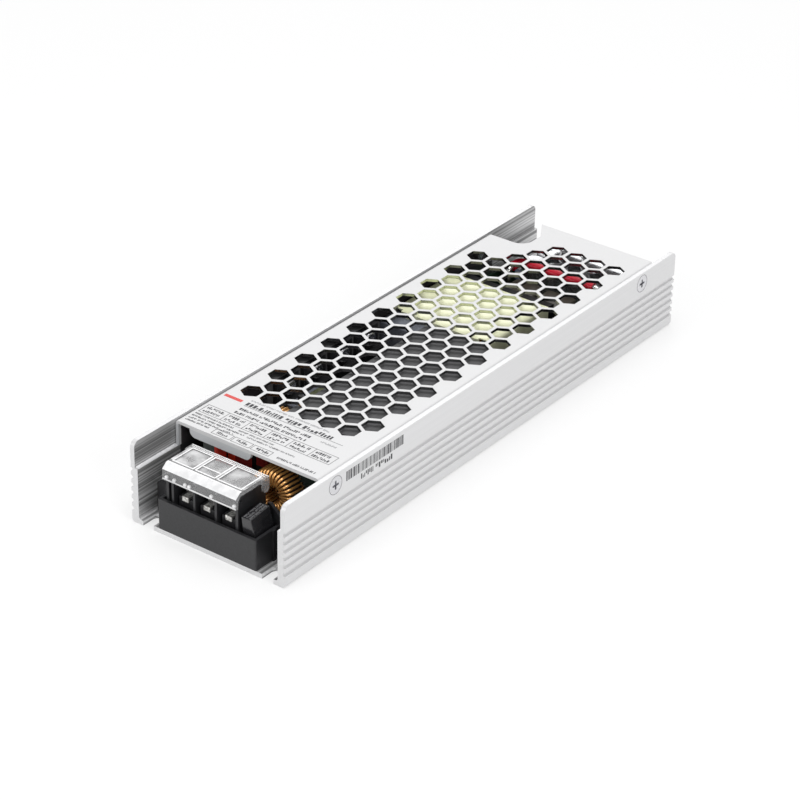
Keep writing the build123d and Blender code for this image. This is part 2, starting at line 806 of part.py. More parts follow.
def wound_ring(name, axis_frame, outer, hole, thickness, arcs):
    """Model a ring core and its turns. `axis_frame` has Z along the ring's axis, from its middle.

    Each turn is a wedge of the ring's covering, and the bunched wire inside the hole joins them.
    `arcs` lists each winding's first angle, its number of turns and the angle from turn to turn.
    """
    half = thickness / 2
    with BuildPart(axis_frame) as core:
        with BuildSketch(axis_frame):
            Circle(outer - wire_thickness - part_gap)
            Circle(hole + 2 * wire_thickness + part_gap, mode=Mode.SUBTRACT)
        extrude(amount=half - wire_thickness - part_gap, both=True)
        chamfer(core.edges().filter_by(GeomType.CIRCLE), 0.4)
    save(core, f"{name}_core")
    with BuildPart(mode=Mode.PRIVATE) as turn:
        with BuildSketch(Plane.XZ):
            with Locations(((hole + outer) / 2, 0)):
                turn_outline = Rectangle(outer - hole, thickness)
            fillet(turn_outline.vertices(), 1.4)
            with Locations(((hole + wire_thickness + outer) / 2, 0)):
                Rectangle(
                    outer - hole - 3 * wire_thickness, thickness - 2 * wire_thickness, mode=Mode.SUBTRACT,
                )
        revolve(axis=Axis.Z, revolution_arc=arcs[0][2] * turn_share)
    with BuildPart() as winding:
        for start, count, step in arcs:
            with BuildPart(mode=Mode.PRIVATE) as bunch:
                with BuildSketch(Plane.XZ):
                    with Locations((hole + wire_thickness, 0)):
                        Rectangle(wire_thickness, thickness - 4 * wire_thickness)
                revolve(axis=Axis.Z, revolution_arc=(count - 1 + turn_share) * step)
            with Locations(axis_frame.location):
                with PolarLocations(0, count, start_angle=start, angular_range=count * step):
                    add(turn.part)
                with Locations(Location((0, 0, 0), (0, 0, start))):
                    add(bunch.part)
    return winding


# Input choke: an upright wound ring that faces the input end
choke_frame = Plane(
    (choke_x, input_end + choke_from_input, board_top + choke_outer_radius + wound_fit),
    x_dir=(1, 0, 0), z_dir=(0, -1, 0),
)
input_choke_winding = wound_ring(
    "input_choke", choke_frame, choke_outer_radius, choke_hole_radius, choke_thickness,
    [(0, choke_turns, 360 / choke_turns)],
)
save(input_choke_winding, "input_choke_winding")


def box_capacitor(name, x, from_input, size, corner):
    """Model a moulded box capacitor that stands on the board."""
    with BuildPart() as box:
        with Locations((x, input_end + from_input, board_top)):
            Box(*size, align=low)
        fillet(box.edges().filter_by(Axis.Z), corner)
        fillet(box.edges().group_by(Axis.Z)[-1], corner / 2)
    save(box, name)


# Line and film capacitors, one behind the other under the cover's input lip
box_capacitor(
    "line_capacitor", line_cap_x, line_cap_from_input,
    (line_cap_width, line_cap_depth, room - line_cap_headroom), 0.5,
)
box_capacitor(
    "film_capacitor", film_cap_x, film_cap_from_input,
    (film_cap_width, film_cap_depth, room - film_cap_headroom), 1.6,
)


# Filter choke: a ring on a base plate, with two windings on opposite arcs
filter_y = input_end + filter_from_input
with BuildPart() as filter_choke_base:
    with Locations((filter_x, filter_y, board_top)):
        Box(2 * filter_radius, 2 * filter_radius, filter_base, align=low)
    fillet(filter_choke_base.edges().filter_by(Axis.Z), filter_radius / 3)
save(filter_choke_base, "filter_choke_base")
filter_frame = Plane((filter_x, filter_y, board_top + filter_base + filter_thickness / 2))
filter_step = (180 - filter_gap) / filter_turns
filter_choke_windings = wound_ring(
    "filter_choke", filter_frame, filter_radius, filter_hole_radius, filter_thickness,
    [(filter_gap / 2, filter_turns, filter_step), (180 + filter_gap / 2, filter_turns, filter_step)],
)
save(filter_choke_windings, "filter_choke_windings")


# Bulk capacitors: two cans that lie along the case, with a rolled groove near the lead end
with BuildPart(mode=Mode.PRIVATE) as can:
    with BuildSketch() as can_profile:
        Rectangle(can_radius, can_length, align=(Align.MIN, Align.MIN))
        fillet(can_profile.vertices().group_by(Axis.X)[-1], 0.9)
        with Locations((can_radius + can_groove, can_groove_place)):
            Circle(2 * can_groove, mode=Mode.SUBTRACT)
    revolve(axis=Axis.Y)
place_all(
    can.part,
    [
        (can_x + side * can_spacing / 2, input_end + can_from_input, board_top + can_radius)
        for side in (-1, 1)
    ],
    "bulk_capacitors",
)


# Heat spreader: a bent plate that covers the primary side, with one leg on the board
with BuildPart() as heat_spreader:
    with BuildSketch(Plane.XZ.offset(-(input_end + spreader_from_input))):
        with Locations((spreader_left, board_top + spreader_height - spreader_thickness)):
            Rectangle(spreader_right - spreader_left, spreader_thickness, align=(Align.MIN, Align.MIN))
    extrude(amount=-spreader_length)
    with Locations((spreader_right, input_end + spreader_leg_start, board_top)):
        Box(
            spreader_thickness, spreader_leg_end - spreader_leg_start, spreader_height,
            align=(Align.MAX, Align.MIN, Align.MIN),
        )
save(heat_spreader, "heat_spreader")


# Bridge rectifier, flat against the spreader's leg, with four leads to the board
with BuildPart() as bridge_rectifier:
    bridge_x = spreader_right - spreader_thickness - bridge_thickness / 2
    bridge_y = input_end + bridge_from_input + bridge_length / 2
    with Locations((bridge_x, bridge_y, board_top + transistor_lift)):
        Box(bridge_thickness, bridge_length, spreader_under - transistor_lift, align=low)
    fillet(bridge_rectifier.edges().group_by(Axis.Z)[-1], 0.4)
    with Locations((bridge_x, bridge_y, board_top)):
        with GridLocations(0, bridge_length / 4, 1, 4):
            Box(device_lead_width, device_lead_width, transistor_lift, align=low)
save(bridge_rectifier, "bridge_rectifier")


def device_row(prefix, row_frame, count, pitch):
    """Model a heatsink bar, the power devices flat against it, and the screws through their tabs.

    The frame stands on the board at the bar's outer face, with X towards the middle of the case.
    """
    device_places = [(index - (count - 1) / 2) * pitch for index in range(count)]
    tab_base = transistor_lift + transistor_body
    screw_z = tab_base + tab_height / 2
    front = sink_thickness + tab_thickness
    bore = device_screw_radius + thread_clearance
    with BuildPart(row_frame) as sink:
        Box(sink_thickness, count * pitch + 2 * sink_margin, sink_height, align=low_left)
        with Locations(*[Location((sink_thickness, y, screw_z), (0, 90, 0)) for y in device_places]):
            Hole(bore)
    save(sink, f"{prefix}_heatsink")
    with BuildPart(row_frame) as devices:
        with Locations(*[(sink_thickness, y, transistor_lift) for y in device_places]):
            Box(transistor_thickness, transistor_width, transistor_body, align=low_left)
        with Locations(*[(sink_thickness, y, tab_base) for y in device_places]):
            Box(tab_thickness, transistor_width, tab_height, align=low_left)
        with Locations(*[Location((front, y, screw_z), (0, 90, 0)) for y in device_places]):
            Hole(bore, depth=tab_thickness)
        with Locations(*[(sink_thickness + tab_thickness, y, 0) for y in device_places]):
            with GridLocations(0, device_lead_pitch, 1, 3):
                Box(device_lead_width, device_lead_width, transistor_lift, align=low)
    save(devices, f"{prefix}_devices")
    screw = make_screw(
        device_screw_head_radius, device_screw_head, device_screw_radius, device_screw_length,
    )
    with BuildPart(row_frame) as screws:
        with Locations(*[Location((front, y, screw_z), (0, 90, 0)) for y in device_places]):
            add(screw)
    save(screws, f"{prefix}_device_screws")


# Primary devices on the left wall's side and output rectifiers on the right wall's side
primary_row = primary_transistors * primary_transistor_pitch + 2 * sink_margin
device_row(
    "primary",
    Plane(
        (-(wall_inner - sink_gap), input_end + primary_sink_from_input + primary_row / 2, board_top),
        x_dir=(1, 0, 0), z_dir=(0, 0, 1),
    ),
    primary_transistors, primary_transistor_pitch,
)
output_row = output_rectifiers * rectifier_pitch + 2 * sink_margin
device_row(
    "output",
    Plane(
        (wall_inner - sink_gap, output_end - output_sink_from_output + output_row / 2, board_top),
        x_dir=(-1, 0, 0), z_dir=(0, 0, 1),
    ),
    output_rectifiers, rectifier_pitch,
)


def wound_core(name, place, size, yoke, limb, proud):
    """Model a ferrite core that stands on the board, with its bobbin and winding round a centre limb.

    The limb lies along Y. The winding stands proud of the core above and below.
    Returns the middle of the plan and the length between the yokes.
    """
    x, from_input = place
    y = input_end + from_input
    wide, long, tall = size
    window = long - 2 * yoke
    opening = wide / 2 - 2 * limb
    core_height = tall - 2 * proud
    half_limb = limb + wound_fit
    half_height = core_height / 2 + wound_fit
    middle = board_top + tall / 2
    inside = wide - 2 * (limb + wound_fit)
    with BuildPart() as core:
        with BuildSketch(Plane.XY.offset(middle - core_height / 2)):
            with Locations((x, y)):
                Rectangle(wide, long)
                with GridLocations(2 * limb + opening, 0, 2, 1):
                    Rectangle(opening, window, mode=Mode.SUBTRACT)
        extrude(amount=core_height)
        chamfer(core.edges().filter_by(Axis.X).group_by(Axis.Z)[-1], 0.3)
    save(core, f"{name}_core")
    with BuildPart() as bobbin:
        with BuildSketch(Plane.XZ.offset(-y)):
            with Locations((x, middle)):
                Rectangle(2 * (half_limb + tube_thickness), 2 * (half_height + tube_thickness))
                Rectangle(2 * half_limb, 2 * half_height, mode=Mode.SUBTRACT)
        extrude(amount=window / 2 - wound_fit, both=True)
        for end in (-1, 1):
            with BuildSketch(Plane.XZ.offset(-(y + end * (window / 2 - wound_fit)))):
                with Locations((x, middle)):
                    Rectangle(inside, tall)
                    Rectangle(2 * half_limb, 2 * half_height, mode=Mode.SUBTRACT)
            extrude(amount=end * flange_thickness)
    save(bobbin, f"{name}_bobbin")
    with BuildPart() as winding:
        with BuildSketch(Plane.XZ.offset(-y)) as winding_section:
            with Locations((x, middle)):
                Rectangle(inside - 2 * tape_thickness, tall - 4 * tape_thickness)
            fillet(winding_section.vertices(), min(inside, tall) / 8)
            with Locations((x, middle)):
                Rectangle(
                    2 * (half_limb + tube_thickness + part_gap),
                    2 * (half_height + tube_thickness + part_gap), mode=Mode.SUBTRACT,
                )
        extrude(amount=window / 2 - wound_fit - flange_thickness - part_gap, both=True)
    save(winding, f"{name}_winding")
    return x, y, window


# Standby transformer, correction inductor and main transformer
wound_core(
    "standby_transformer", (standby_from_wall - wall_inner, standby_from_input),
    (standby_width, standby_length, standby_height), standby_yoke, standby_limb, standby_proud,
)
wound_core(
    "correction_inductor", (inductor_x, inductor_from_input),
    (inductor_width, inductor_length, spreader_under - inductor_headroom),
    inductor_yoke, inductor_limb, inductor_proud,
)
transformer_place = ((transformer_left + transformer_right) / 2, (transformer_start + transformer_end) / 2)
transformer_size = (
    transformer_right - transformer_left, transformer_end - transformer_start, room - transformer_headroom,
)
transformer_x, transformer_y, transformer_window = wound_core(
    "transformer", transformer_place, transformer_size, transformer_yoke, transformer_limb, transformer_proud,
)

# Tape: one band round the side limbs and the winding of the main transformer
with BuildPart() as transformer_tape:
    tape_width = transformer_size[0] + 2 * (tape_thickness + part_gap)
    tape_height = transformer_size[2] - 2 * part_gap
    with BuildSketch(Plane.XZ.offset(-transformer_y)) as tape_section:
        with Locations((transformer_x, board_top + transformer_size[2] / 2)):
            Rectangle(tape_width, tape_height)
        fillet(tape_section.vertices(), transformer_proud)
        offset(amount=-tape_thickness, mode=Mode.SUBTRACT)
    extrude(amount=transformer_window / 2 - flange_thickness - 2 * wound_fit, both=True)
save(transformer_tape, "transformer_tape")


# Output chokes: two square-shouldered coils side by side
with BuildPart() as output_chokes:
    with Locations(*[
        (coil_x + side * coil_spacing / 2, output_end - coil_from_output, board_top)
        for side in (-1, 1)
    ]):
        Box(coil_width, coil_depth, coil_height, align=low)
    fillet(output_chokes.edges().filter_by(Axis.Z), coil_corner)
    chamfer(output_chokes.edges().group_by(Axis.Z)[-1], 0.5)
save(output_chokes, "output_chokes")


# Output bus bar: a rod bent in three corners with both ends in the board, and a sleeve on its high run
bar_y = output_end - bar_from_output
bar_start = bar_y - bar_return
bar_left = bar_x - bar_length / 2
bar_right = bar_x + bar_length / 2
bar_z = board_top + bar_height
with BuildPart() as output_bus_bar:
    with BuildLine() as bar_path:
        FilletPolyline(
            (bar_left, bar_start, board_top), (bar_left, bar_start, bar_z), (bar_left, bar_y, bar_z),
            (bar_right, bar_y, bar_z), (bar_right, bar_y, board_top), radius=2 * bar_radius,
        )
    with BuildSketch(Plane((bar_left, bar_start, board_top))):
        Circle(bar_radius)
    sweep()
save(output_bus_bar, "output_bus_bar")

with BuildPart() as bus_bar_sleeve:
    with BuildLine() as sleeve_path:
        FilletPolyline(
            (bar_left, bar_start + sleeve_inset, bar_z), (bar_left, bar_y, bar_z),
            (bar_right - sleeve_inset, bar_y, bar_z), radius=2 * bar_radius,
        )
    with BuildSketch(Plane.XZ.offset(-(bar_start + sleeve_inset))):
        with Locations((bar_left, bar_z)):
            Circle(sleeve_radius)
            Circle(bar_radius + part_gap, mode=Mode.SUBTRACT)
    sweep()
save(bus_bar_sleeve, "bus_bar_sleeve")


# Output capacitors: standing cans with a rounded shoulder
with BuildPart(mode=Mode.PRIVATE) as polymer:
    with BuildSketch(Plane.XZ) as polymer_profile:
        Rectangle(polymer_radius, polymer_height, align=(Align.MIN, Align.MIN))
        fillet(polymer_profile.vertices().group_by(Axis.Y)[-1].sort_by(Axis.X)[-1], polymer_edge)
        with Locations((polymer_radius + 0.6, 2.2)):
            Circle(1.0, mode=Mode.SUBTRACT)
    revolve(axis=Axis.Z)
polymer_places = [
    (polymer_x + (column - (polymer_columns - 1) / 2) * polymer_column_pitch,
     output_end - polymer_from_output + (row - (polymer_rows - 1) / 2) * polymer_row_pitch, board_top)
    for column in range(polymer_columns) for row in range(polymer_rows)
]
place_all(polymer.part, polymer_places, "output_capacitors")


# Voltage trimmer: a body with a round well, and a slotted rotor that turns in it
with BuildPart() as trimmer_body:
    trimmer_place = (trimmer_x, output_end - trimmer_from_output, board_top)
    with Locations(trimmer_place):
        Box(trimmer_size, trimmer_size, trimmer_height, align=low)
    fillet(trimmer_body.edges().filter_by(Axis.Z), 0.6)
    with Locations((trimmer_place[0], trimmer_place[1], board_top + trimmer_height)):
        Hole(rotor_radius + rotor_clearance, depth=rotor_height + rotor_clearance)
save(trimmer_body, "trimmer_body")

with BuildPart() as trimmer_rotor:
    with Locations((trimmer_place[0], trimmer_place[1], board_top + trimmer_height)):
        Cylinder(rotor_radius, rotor_height, align=(Align.CENTER, Align.CENTER, Align.MAX))
    with BuildSketch(Plane.XY.offset(board_top + trimmer_height)):
        with Locations((trimmer_place[0], trimmer_place[1])):
            Rectangle(rotor_slot, 2 * rotor_radius + 1)
    extrude(amount=-rotor_slot, mode=Mode.SUBTRACT)
save(trimmer_rotor, "trimmer_rotor")


# Status lamp: a domed light on a low collar
with BuildPart() as status_lamp:
    with Locations((lamp_x, output_end - lamp_from_output, board_top)):
        Cylinder(lamp_radius + 0.3, 0.8, align=low)
        Cylinder(lamp_radius, lamp_height, align=low)
    fillet(status_lamp.edges().sort_by(Axis.Z)[-1], lamp_radius - 0.1)
save(status_lamp, "status_lamp")


# Control board: a small upright board beside the output chokes
with BuildPart() as control_board:
    with Locations((daughter_x, output_end - daughter_from_output, board_top)):
        Box(daughter_thickness, daughter_length, daughter_height, align=low)
save(control_board, "control_board")
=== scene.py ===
# %% [markdown]
# # A slim switching power supply
# A ribbed aluminium channel holds a circuit board full of parts, under a light cover
# with hexagonal vents. The CAD solids carry every shape that matters for fit. This
# lesson gives them their finishes, and adds the print, the wire and the small details.
# The first cell loads the CAD frame. Everything is in metres, with +Z up. Small details
# are laid out in millimetres, and divided by 1000 where a point is made.
# %% Load the frame
import math
import random

import bmesh
import bpy
from mathutils import Matrix, Vector


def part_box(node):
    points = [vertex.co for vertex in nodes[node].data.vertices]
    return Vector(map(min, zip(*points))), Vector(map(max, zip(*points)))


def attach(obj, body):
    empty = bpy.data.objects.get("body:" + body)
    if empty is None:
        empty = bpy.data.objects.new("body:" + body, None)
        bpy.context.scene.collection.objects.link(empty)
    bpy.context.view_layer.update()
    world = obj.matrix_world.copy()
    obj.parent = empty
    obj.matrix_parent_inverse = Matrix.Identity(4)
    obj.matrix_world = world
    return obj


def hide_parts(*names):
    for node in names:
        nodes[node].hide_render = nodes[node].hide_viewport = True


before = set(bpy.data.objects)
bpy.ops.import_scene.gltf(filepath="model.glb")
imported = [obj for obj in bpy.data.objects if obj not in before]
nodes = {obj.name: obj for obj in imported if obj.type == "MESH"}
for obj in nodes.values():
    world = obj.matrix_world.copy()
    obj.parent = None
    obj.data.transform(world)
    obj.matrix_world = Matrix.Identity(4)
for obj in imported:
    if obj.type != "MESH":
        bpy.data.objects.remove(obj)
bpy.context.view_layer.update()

# %% [markdown]
# ## The camera
# The photograph was fitted with a simple pinhole camera: where it stands, how far it
# is rolled, and its long lens. A camera's matrix is its right, up and back directions
# as columns, so three vectors are enough and no tracking constraint is needed.
# %% Camera
azimuth, elevation, roll = (math.radians(a) for a in (36.571, 29.824, 1.190))
camera_place = Vector((0.42460, -0.58188, 0.41843))
back = Vector((
    math.sin(azimuth) * math.cos(elevation),
    -math.cos(azimuth) * math.cos(elevation),
    math.sin(elevation),
))
level_right = Vector((0, 0, 1)).cross(back).normalized()
level_up = back.cross(level_right)
right = math.cos(roll) * level_right + math.sin(roll) * level_up
up = math.cos(roll) * level_up - math.sin(roll) * level_right

camera_data = bpy.data.cameras.new("photo_camera")
camera_data.sensor_width = 36
camera_data.lens = 125.264
camera_data.clip_start = 0.01
camera_data.clip_end = 20
camera = bpy.data.objects.new("photo_camera", camera_data)
bpy.context.collection.objects.link(camera)
camera.matrix_world = Matrix.Translation(camera_place) @ (
    Matrix((right, up, back)).transposed().to_4x4()
)
bpy.context.scene.camera = camera
print("camera at", tuple(round(v, 4) for v in camera.location))


# %% [markdown]
# ## Finishes
# Every finish starts from one Principled shader. The helper below adds fine noise to
# its colour, roughness and bump. The noise reads Object coordinates, so it stays put on
# the piece, and its scale is given per axis: drawn aluminium needs long thin noise.
# %% A finish with fine variation
def finish(name, color, roughness, metallic=0.0, grain=900.0, stretch=(1, 1, 1), tint=0.05,
           rough_change=0.06, bump=0.02, depth=0.00002, coat=0.0):
    material = bpy.data.materials.new(name)
    material.use_nodes = True
    tree = material.node_tree
    shader = tree.nodes["Principled BSDF"]
    shader.inputs["Metallic"].default_value = metallic
    shader.inputs["Coat Weight"].default_value = coat
    shader.inputs["Coat Roughness"].default_value = 0.12
    place = tree.nodes.new("ShaderNodeTexCoord")
    scaling = tree.nodes.new("ShaderNodeMapping")
    scaling.inputs["Scale"].default_value = stretch
    tree.links.new(place.outputs["Object"], scaling.inputs["Vector"])
    noise = tree.nodes.new("ShaderNodeTexNoise")
    noise.inputs["Scale"].default_value = grain
    noise.inputs["Detail"].default_value = 4
    tree.links.new(scaling.outputs["Vector"], noise.inputs["Vector"])
    colors = tree.nodes.new("ShaderNodeValToRGB")
    colors.color_ramp.elements[0].position = 0.3
    colors.color_ramp.elements[1].position = 0.7
    colors.color_ramp.elements[0].color = (*(c * (1 - tint) for c in color), 1)
    colors.color_ramp.elements[1].color = (*(min(1, c * (1 + tint)) for c in color), 1)
    tree.links.new(noise.outputs["Fac"], colors.inputs["Fac"])
    tree.links.new(colors.outputs["Color"], shader.inputs["Base Color"])
    roughs = tree.nodes.new("ShaderNodeMapRange")
    roughs.inputs["To Min"].default_value = roughness - rough_change
    roughs.inputs["To Max"].default_value = roughness + rough_change
    tree.links.new(noise.outputs["Fac"], roughs.inputs["Value"])
    tree.links.new(roughs.outputs["Result"], shader.inputs["Roughness"])
    relief = tree.nodes.new("ShaderNodeBump")
    relief.inputs["Strength"].default_value = bump
    relief.inputs["Distance"].default_value = depth
    tree.links.new(noise.outputs["Fac"], relief.inputs["Height"])
    tree.links.new(relief.outputs["Normal"], shader.inputs["Normal"])
    return material


drawn_aluminium = finish(
    "drawn_aluminium", (0.735, 0.735, 0.742), 0.42, metallic=0.5, grain=1.0,
    stretch=(1600, 12, 1600), tint=0.02, rough_change=0.04, bump=0.05,
)
print("made", drawn_aluminium.name, "with", len(drawn_aluminium.node_tree.nodes), "shader nodes")


# %% [markdown]
# ## Two tones on one piece
# The channel keeps deep lines from the die on its inner faces. They are a second long
# noise that darkens the colour, and they stop just short of the two end faces. The faces
# could be given a material one by one. A band is simpler: a Math node compares one Object
# coordinate with a middle and a reach, and a Mix node works only where all bands meet.
# %% Bands, and the die lines
def band(tree, axis, middle, reach):
    """1 where the Object coordinate on `axis` is within `reach` of `middle`, and 0 elsewhere."""
    split = tree.nodes.new("ShaderNodeSeparateXYZ")
    tree.links.new(tree.nodes["Texture Coordinate"].outputs["Object"], split.inputs["Vector"])
    near = tree.nodes.new("ShaderNodeMath")
    near.operation = "COMPARE"
    near.inputs[1].default_value = middle
    near.inputs[2].default_value = reach
    tree.links.new(split.outputs[axis], near.inputs[0])
    return near.outputs[0]


def overlay(material, bands, color=None, blend="MIX"):
    """Another colour where all the bands meet. Returns the mix node, whose B takes a colour."""
    tree = material.node_tree
    shader = tree.nodes["Principled BSDF"]
    mask = band(tree, *bands[0])
    for limits in bands[1:]:
        both = tree.nodes.new("ShaderNodeMath")
        both.operation = "MULTIPLY"
        tree.links.new(mask, both.inputs[0])
        tree.links.new(band(tree, *limits), both.inputs[1])
        mask = both.outputs[0]
    mix = tree.nodes.new("ShaderNodeMix")
    mix.data_type = "RGBA"
    mix.blend_type = blend
    tree.links.new(mask, mix.inputs["Factor"])
    tree.links.new(shader.inputs["Base Color"].links[0].from_socket, mix.inputs["A"])
    if color:
        mix.inputs["B"].default_value = (*color, 1)
    tree.links.new(mix.outputs["Result"], shader.inputs["Base Color"])
    return mix


inner_half_width = 0.0262
tree = drawn_aluminium.node_tree
line_scale = tree.nodes.new("ShaderNodeMapping")
line_scale.inputs["Scale"].default_value = (1500, 2, 1500)
tree.links.new(tree.nodes["Texture Coordinate"].outputs["Object"], line_scale.inputs["Vector"])
lines = tree.nodes.new("ShaderNodeTexNoise")
lines.inputs["Scale"].default_value = 1.0
lines.inputs["Detail"].default_value = 2
tree.links.new(line_scale.outputs["Vector"], lines.inputs["Vector"])
line_tone = tree.nodes.new("ShaderNodeMapRange")
line_tone.inputs["From Min"].default_value = 0.4
line_tone.inputs["From Max"].default_value = 0.6
line_tone.inputs["To Min"].default_value = 0.34
line_tone.inputs["To Max"].default_value = 1.0
tree.links.new(lines.outputs["Fac"], line_tone.inputs["Value"])
inner_lines = overlay(
    drawn_aluminium, [("X", 0, inner_half_width), ("Y", 0, 0.0969), ("Z", 0.0125, 0.0134)],
    blend="MULTIPLY",
)
tree.links.new(line_tone.outputs["Result"], inner_lines.inputs["B"])
print("channel:", len(tree.nodes), "shader nodes")


# %% [markdown]
# ## The channel's inside
# Under the cover the channel's inner faces are painted dark, as painted shade, and the top of
# the ledge that carries the cover is painted bright, as a painted highlight. A painted mask
# could hold both, but bands need no unwrapped surface.
# %% Dark inside, bright ledge
def dress(material, *names):
    for name in names:
        nodes[name].data.materials.clear()
        nodes[name].data.materials.append(material)


painted_shade_under_cover = [("X", 0, inner_half_width), ("Y", -0.0035, 0.0755), ("Z", 0.0134, 0.0114)]
painted_ledge_highlight = [("X", 0, 0.0261), ("Y", -0.088, 0.0085), ("Z", 0.0178, 0.0003)]
# Painted shade on the channel's inner faces under the cover
overlay(drawn_aluminium, painted_shade_under_cover, (0.07, 0.07, 0.075))
# Painted highlight on the top of the ledge
overlay(drawn_aluminium, painted_ledge_highlight, (0.95, 0.95, 0.96))
dress(drawn_aluminium, "base_channel")
print("channel with its inside:", len(drawn_aluminium.node_tree.nodes), "shader nodes")

# %% [markdown]
# ## The cover
# The cover is a light painted sheet with an even, very fine grain. Its inside is painted dark,
# as painted shade, and its near lip is painted a little greyer, also as painted shade. The same
# bands do this, so no face has to be picked out.
# %% Cover paint
cover_paint = finish("cover_paint", (0.66, 0.66, 0.665), 0.55, grain=2600, tint=0.02, bump=0.1)
painted_shade_underside = [("X", 0, 0.02475), ("Y", 0.0033, 0.0822), ("Z", 0.0120, 0.0129)]
painted_shade_near_lip = [("Y", -0.080, 0.0006), ("Z", 0.0210, 0.0036)]
# Painted shade on the cover's inner faces
overlay(cover_paint, painted_shade_underside, (0.05, 0.045, 0.05))
# Painted shade on the near lip
overlay(cover_paint, painted_shade_near_lip, (0.56, 0.575, 0.59))
print("cover:", len(cover_paint.node_tree.nodes), "shader nodes")

# %% [markdown]
# ## Punched edges of the vents
# The vents have bare punched edges that mirror what lies below them, so the band that
# colours them also drives Metallic and lowers the roughness. Their dark grey colour is
# painted shade. Over the pale tape of the transformer they are painted in its colour, as a
# painted reflection of the tape. A second material would need the edges picked out.
# %% Vent edges
sheet = ("Z", 0.0253, 0.0004)
# Bare punched edges, coloured dark grey as painted shade
punched_edge_shade = overlay(cover_paint, [("X", 0, 0.0248), ("Y", 0.0035, 0.0795), sheet], (0.22, 0.22, 0.22))
tree = cover_paint.node_tree
shader = tree.nodes["Principled BSDF"]
bare = punched_edge_shade.inputs["Factor"].links[0].from_socket
tree.links.new(bare, shader.inputs["Metallic"])
smooth = tree.nodes.new("ShaderNodeMix")
smooth.inputs["B"].default_value = 0.25
tree.links.new(bare, smooth.inputs["Factor"])
tree.links.new(shader.inputs["Roughness"].links[0].from_socket, smooth.inputs["A"])
tree.links.new(smooth.outputs["Result"], shader.inputs["Roughness"])
# Painted reflection of the tape on the vent edges above it
painted_tape_reflection = [("X", -0.0055, 0.0180), ("Y", 0.0295, 0.0155), sheet]
overlay(cover_paint, painted_tape_reflection, (0.70, 0.73, 0.56))
dress(cover_paint, "top_cover")
print("cover with its vents:", len(tree.nodes), "shader nodes")

# %% [markdown]
# ## Screws, contacts, sheet and cans
# Screws are plated steel and the contacts are tinned, those under the lid scuffed by a
# coarse noise. The inner plates are dull rolled sheet, with long noise like the channel's.
# One helper with other numbers is enough for all of them.
# %% Bare metals
plated_steel = finish("plated_steel", (0.66, 0.66, 0.68), 0.25, metallic=1.0, grain=1500, tint=0.06)
tinned_copper = finish("tinned_copper", (0.74, 0.74, 0.72), 0.2, metallic=1.0, grain=1200, tint=0.08)
sheet_aluminium = finish(
    "sheet_aluminium", (0.12, 0.12, 0.123), 0.7, grain=1.0, stretch=(2500, 60, 2500), tint=0.12,
)
sheet_aluminium.node_tree.nodes["Principled BSDF"].inputs["Specular IOR Level"].default_value = 0.1
dark_plate = finish("dark_plate", (0.16, 0.16, 0.165), 0.35, metallic=0.6, grain=1500, tint=0.15)
can_aluminium = finish("can_aluminium", (0.80, 0.81, 0.83), 0.24, metallic=0.9, grain=1400, tint=0.05)
dress(
    plated_steel, "cover_screws", "board_screws", "board_standoffs", "input_terminal_screws",
    "output_terminal_screws", "primary_device_screws", "output_device_screws",
)
dress(tinned_copper, "output_terminal_contacts", "output_terminal_clamps", "output_bus_bar")
dress(
    finish("worn_tin", (0.66, 0.64, 0.61), 0.3, metallic=0.8, grain=1300, tint=0.55, bump=0.5),
    "input_terminal_contacts",
)
dress(dark_plate, "input_terminal_clamps")
dress(sheet_aluminium, "heat_spreader", "primary_heatsink", "output_heatsink")
dress(can_aluminium, "output_capacitors")
print("metals:", len(bpy.data.materials))

# %% [markdown]
# ## Black plastic, liner and board
# Moulded black plastic has a faint pebble and a soft sheen. The board's green mask is
# painted nearly black, as painted shade under the cover. Each is the same helper with other
# numbers, because only colour, roughness and grain set these finishes apart.
# %% Dark finishes
black_moulding = finish("black_moulding", (0.018, 0.018, 0.02), 0.38, grain=1800, tint=0.25, bump=0.12)
black_gloss = finish("black_gloss", (0.016, 0.016, 0.018), 0.22, grain=700, tint=0.15, coat=0.3)
fibre_sheet = finish("fibre_sheet", (0.03, 0.03, 0.032), 0.6, grain=1500, tint=0.2, bump=0.15)
# Painted shade: the green mask is darkened almost to black under the cover
board_mask_painted_shade = finish("board_mask_painted_shade", (0.008, 0.022, 0.012), 0.5, grain=500, tint=0.2)
board_mask_painted_shade.node_tree.nodes["Principled BSDF"].inputs["Specular IOR Level"].default_value = 0.15
dress(
    black_moulding, "terminal_tray", "input_terminal_body", "output_terminal_body", "bridge_rectifier",
    "primary_devices", "output_devices", "standby_transformer_bobbin", "correction_inductor_bobbin",
    "filter_choke_base",
)
dress(black_gloss, "input_fuse", "bulk_capacitors")
dress(fibre_sheet, "board_liner")
dress(board_mask_painted_shade, "circuit_board", "control_board")
print("materials so far:", len(bpy.data.materials))

# %% [markdown]
# ## Ferrite, tape and enamelled wire
# Ferrite is ground and dull, and tape is glossy. Enamelled copper is metal under a clear
# film. Two layered shaders could show that, and a partly metallic base with a strong coat
# does it in one.
# %% Wound parts
ferrite = finish("ferrite", (0.16, 0.17, 0.20), 0.5, grain=1600, tint=0.18, bump=0.2)
copper_enamel = finish(
    "copper_enamel", (0.90, 0.47, 0.15), 0.22, metallic=0.6, grain=900, tint=0.12, coat=0.8,
)
pale_tape = (0.93, 0.95, 0.66)
yellow_tape = finish(
    "yellow_tape", pale_tape, 0.24, grain=350, tint=0.06, bump=0.1, depth=0.0001, coat=0.4,
)
dress(
    ferrite, "filter_choke_core", "standby_transformer_core", "correction_inductor_core",
)
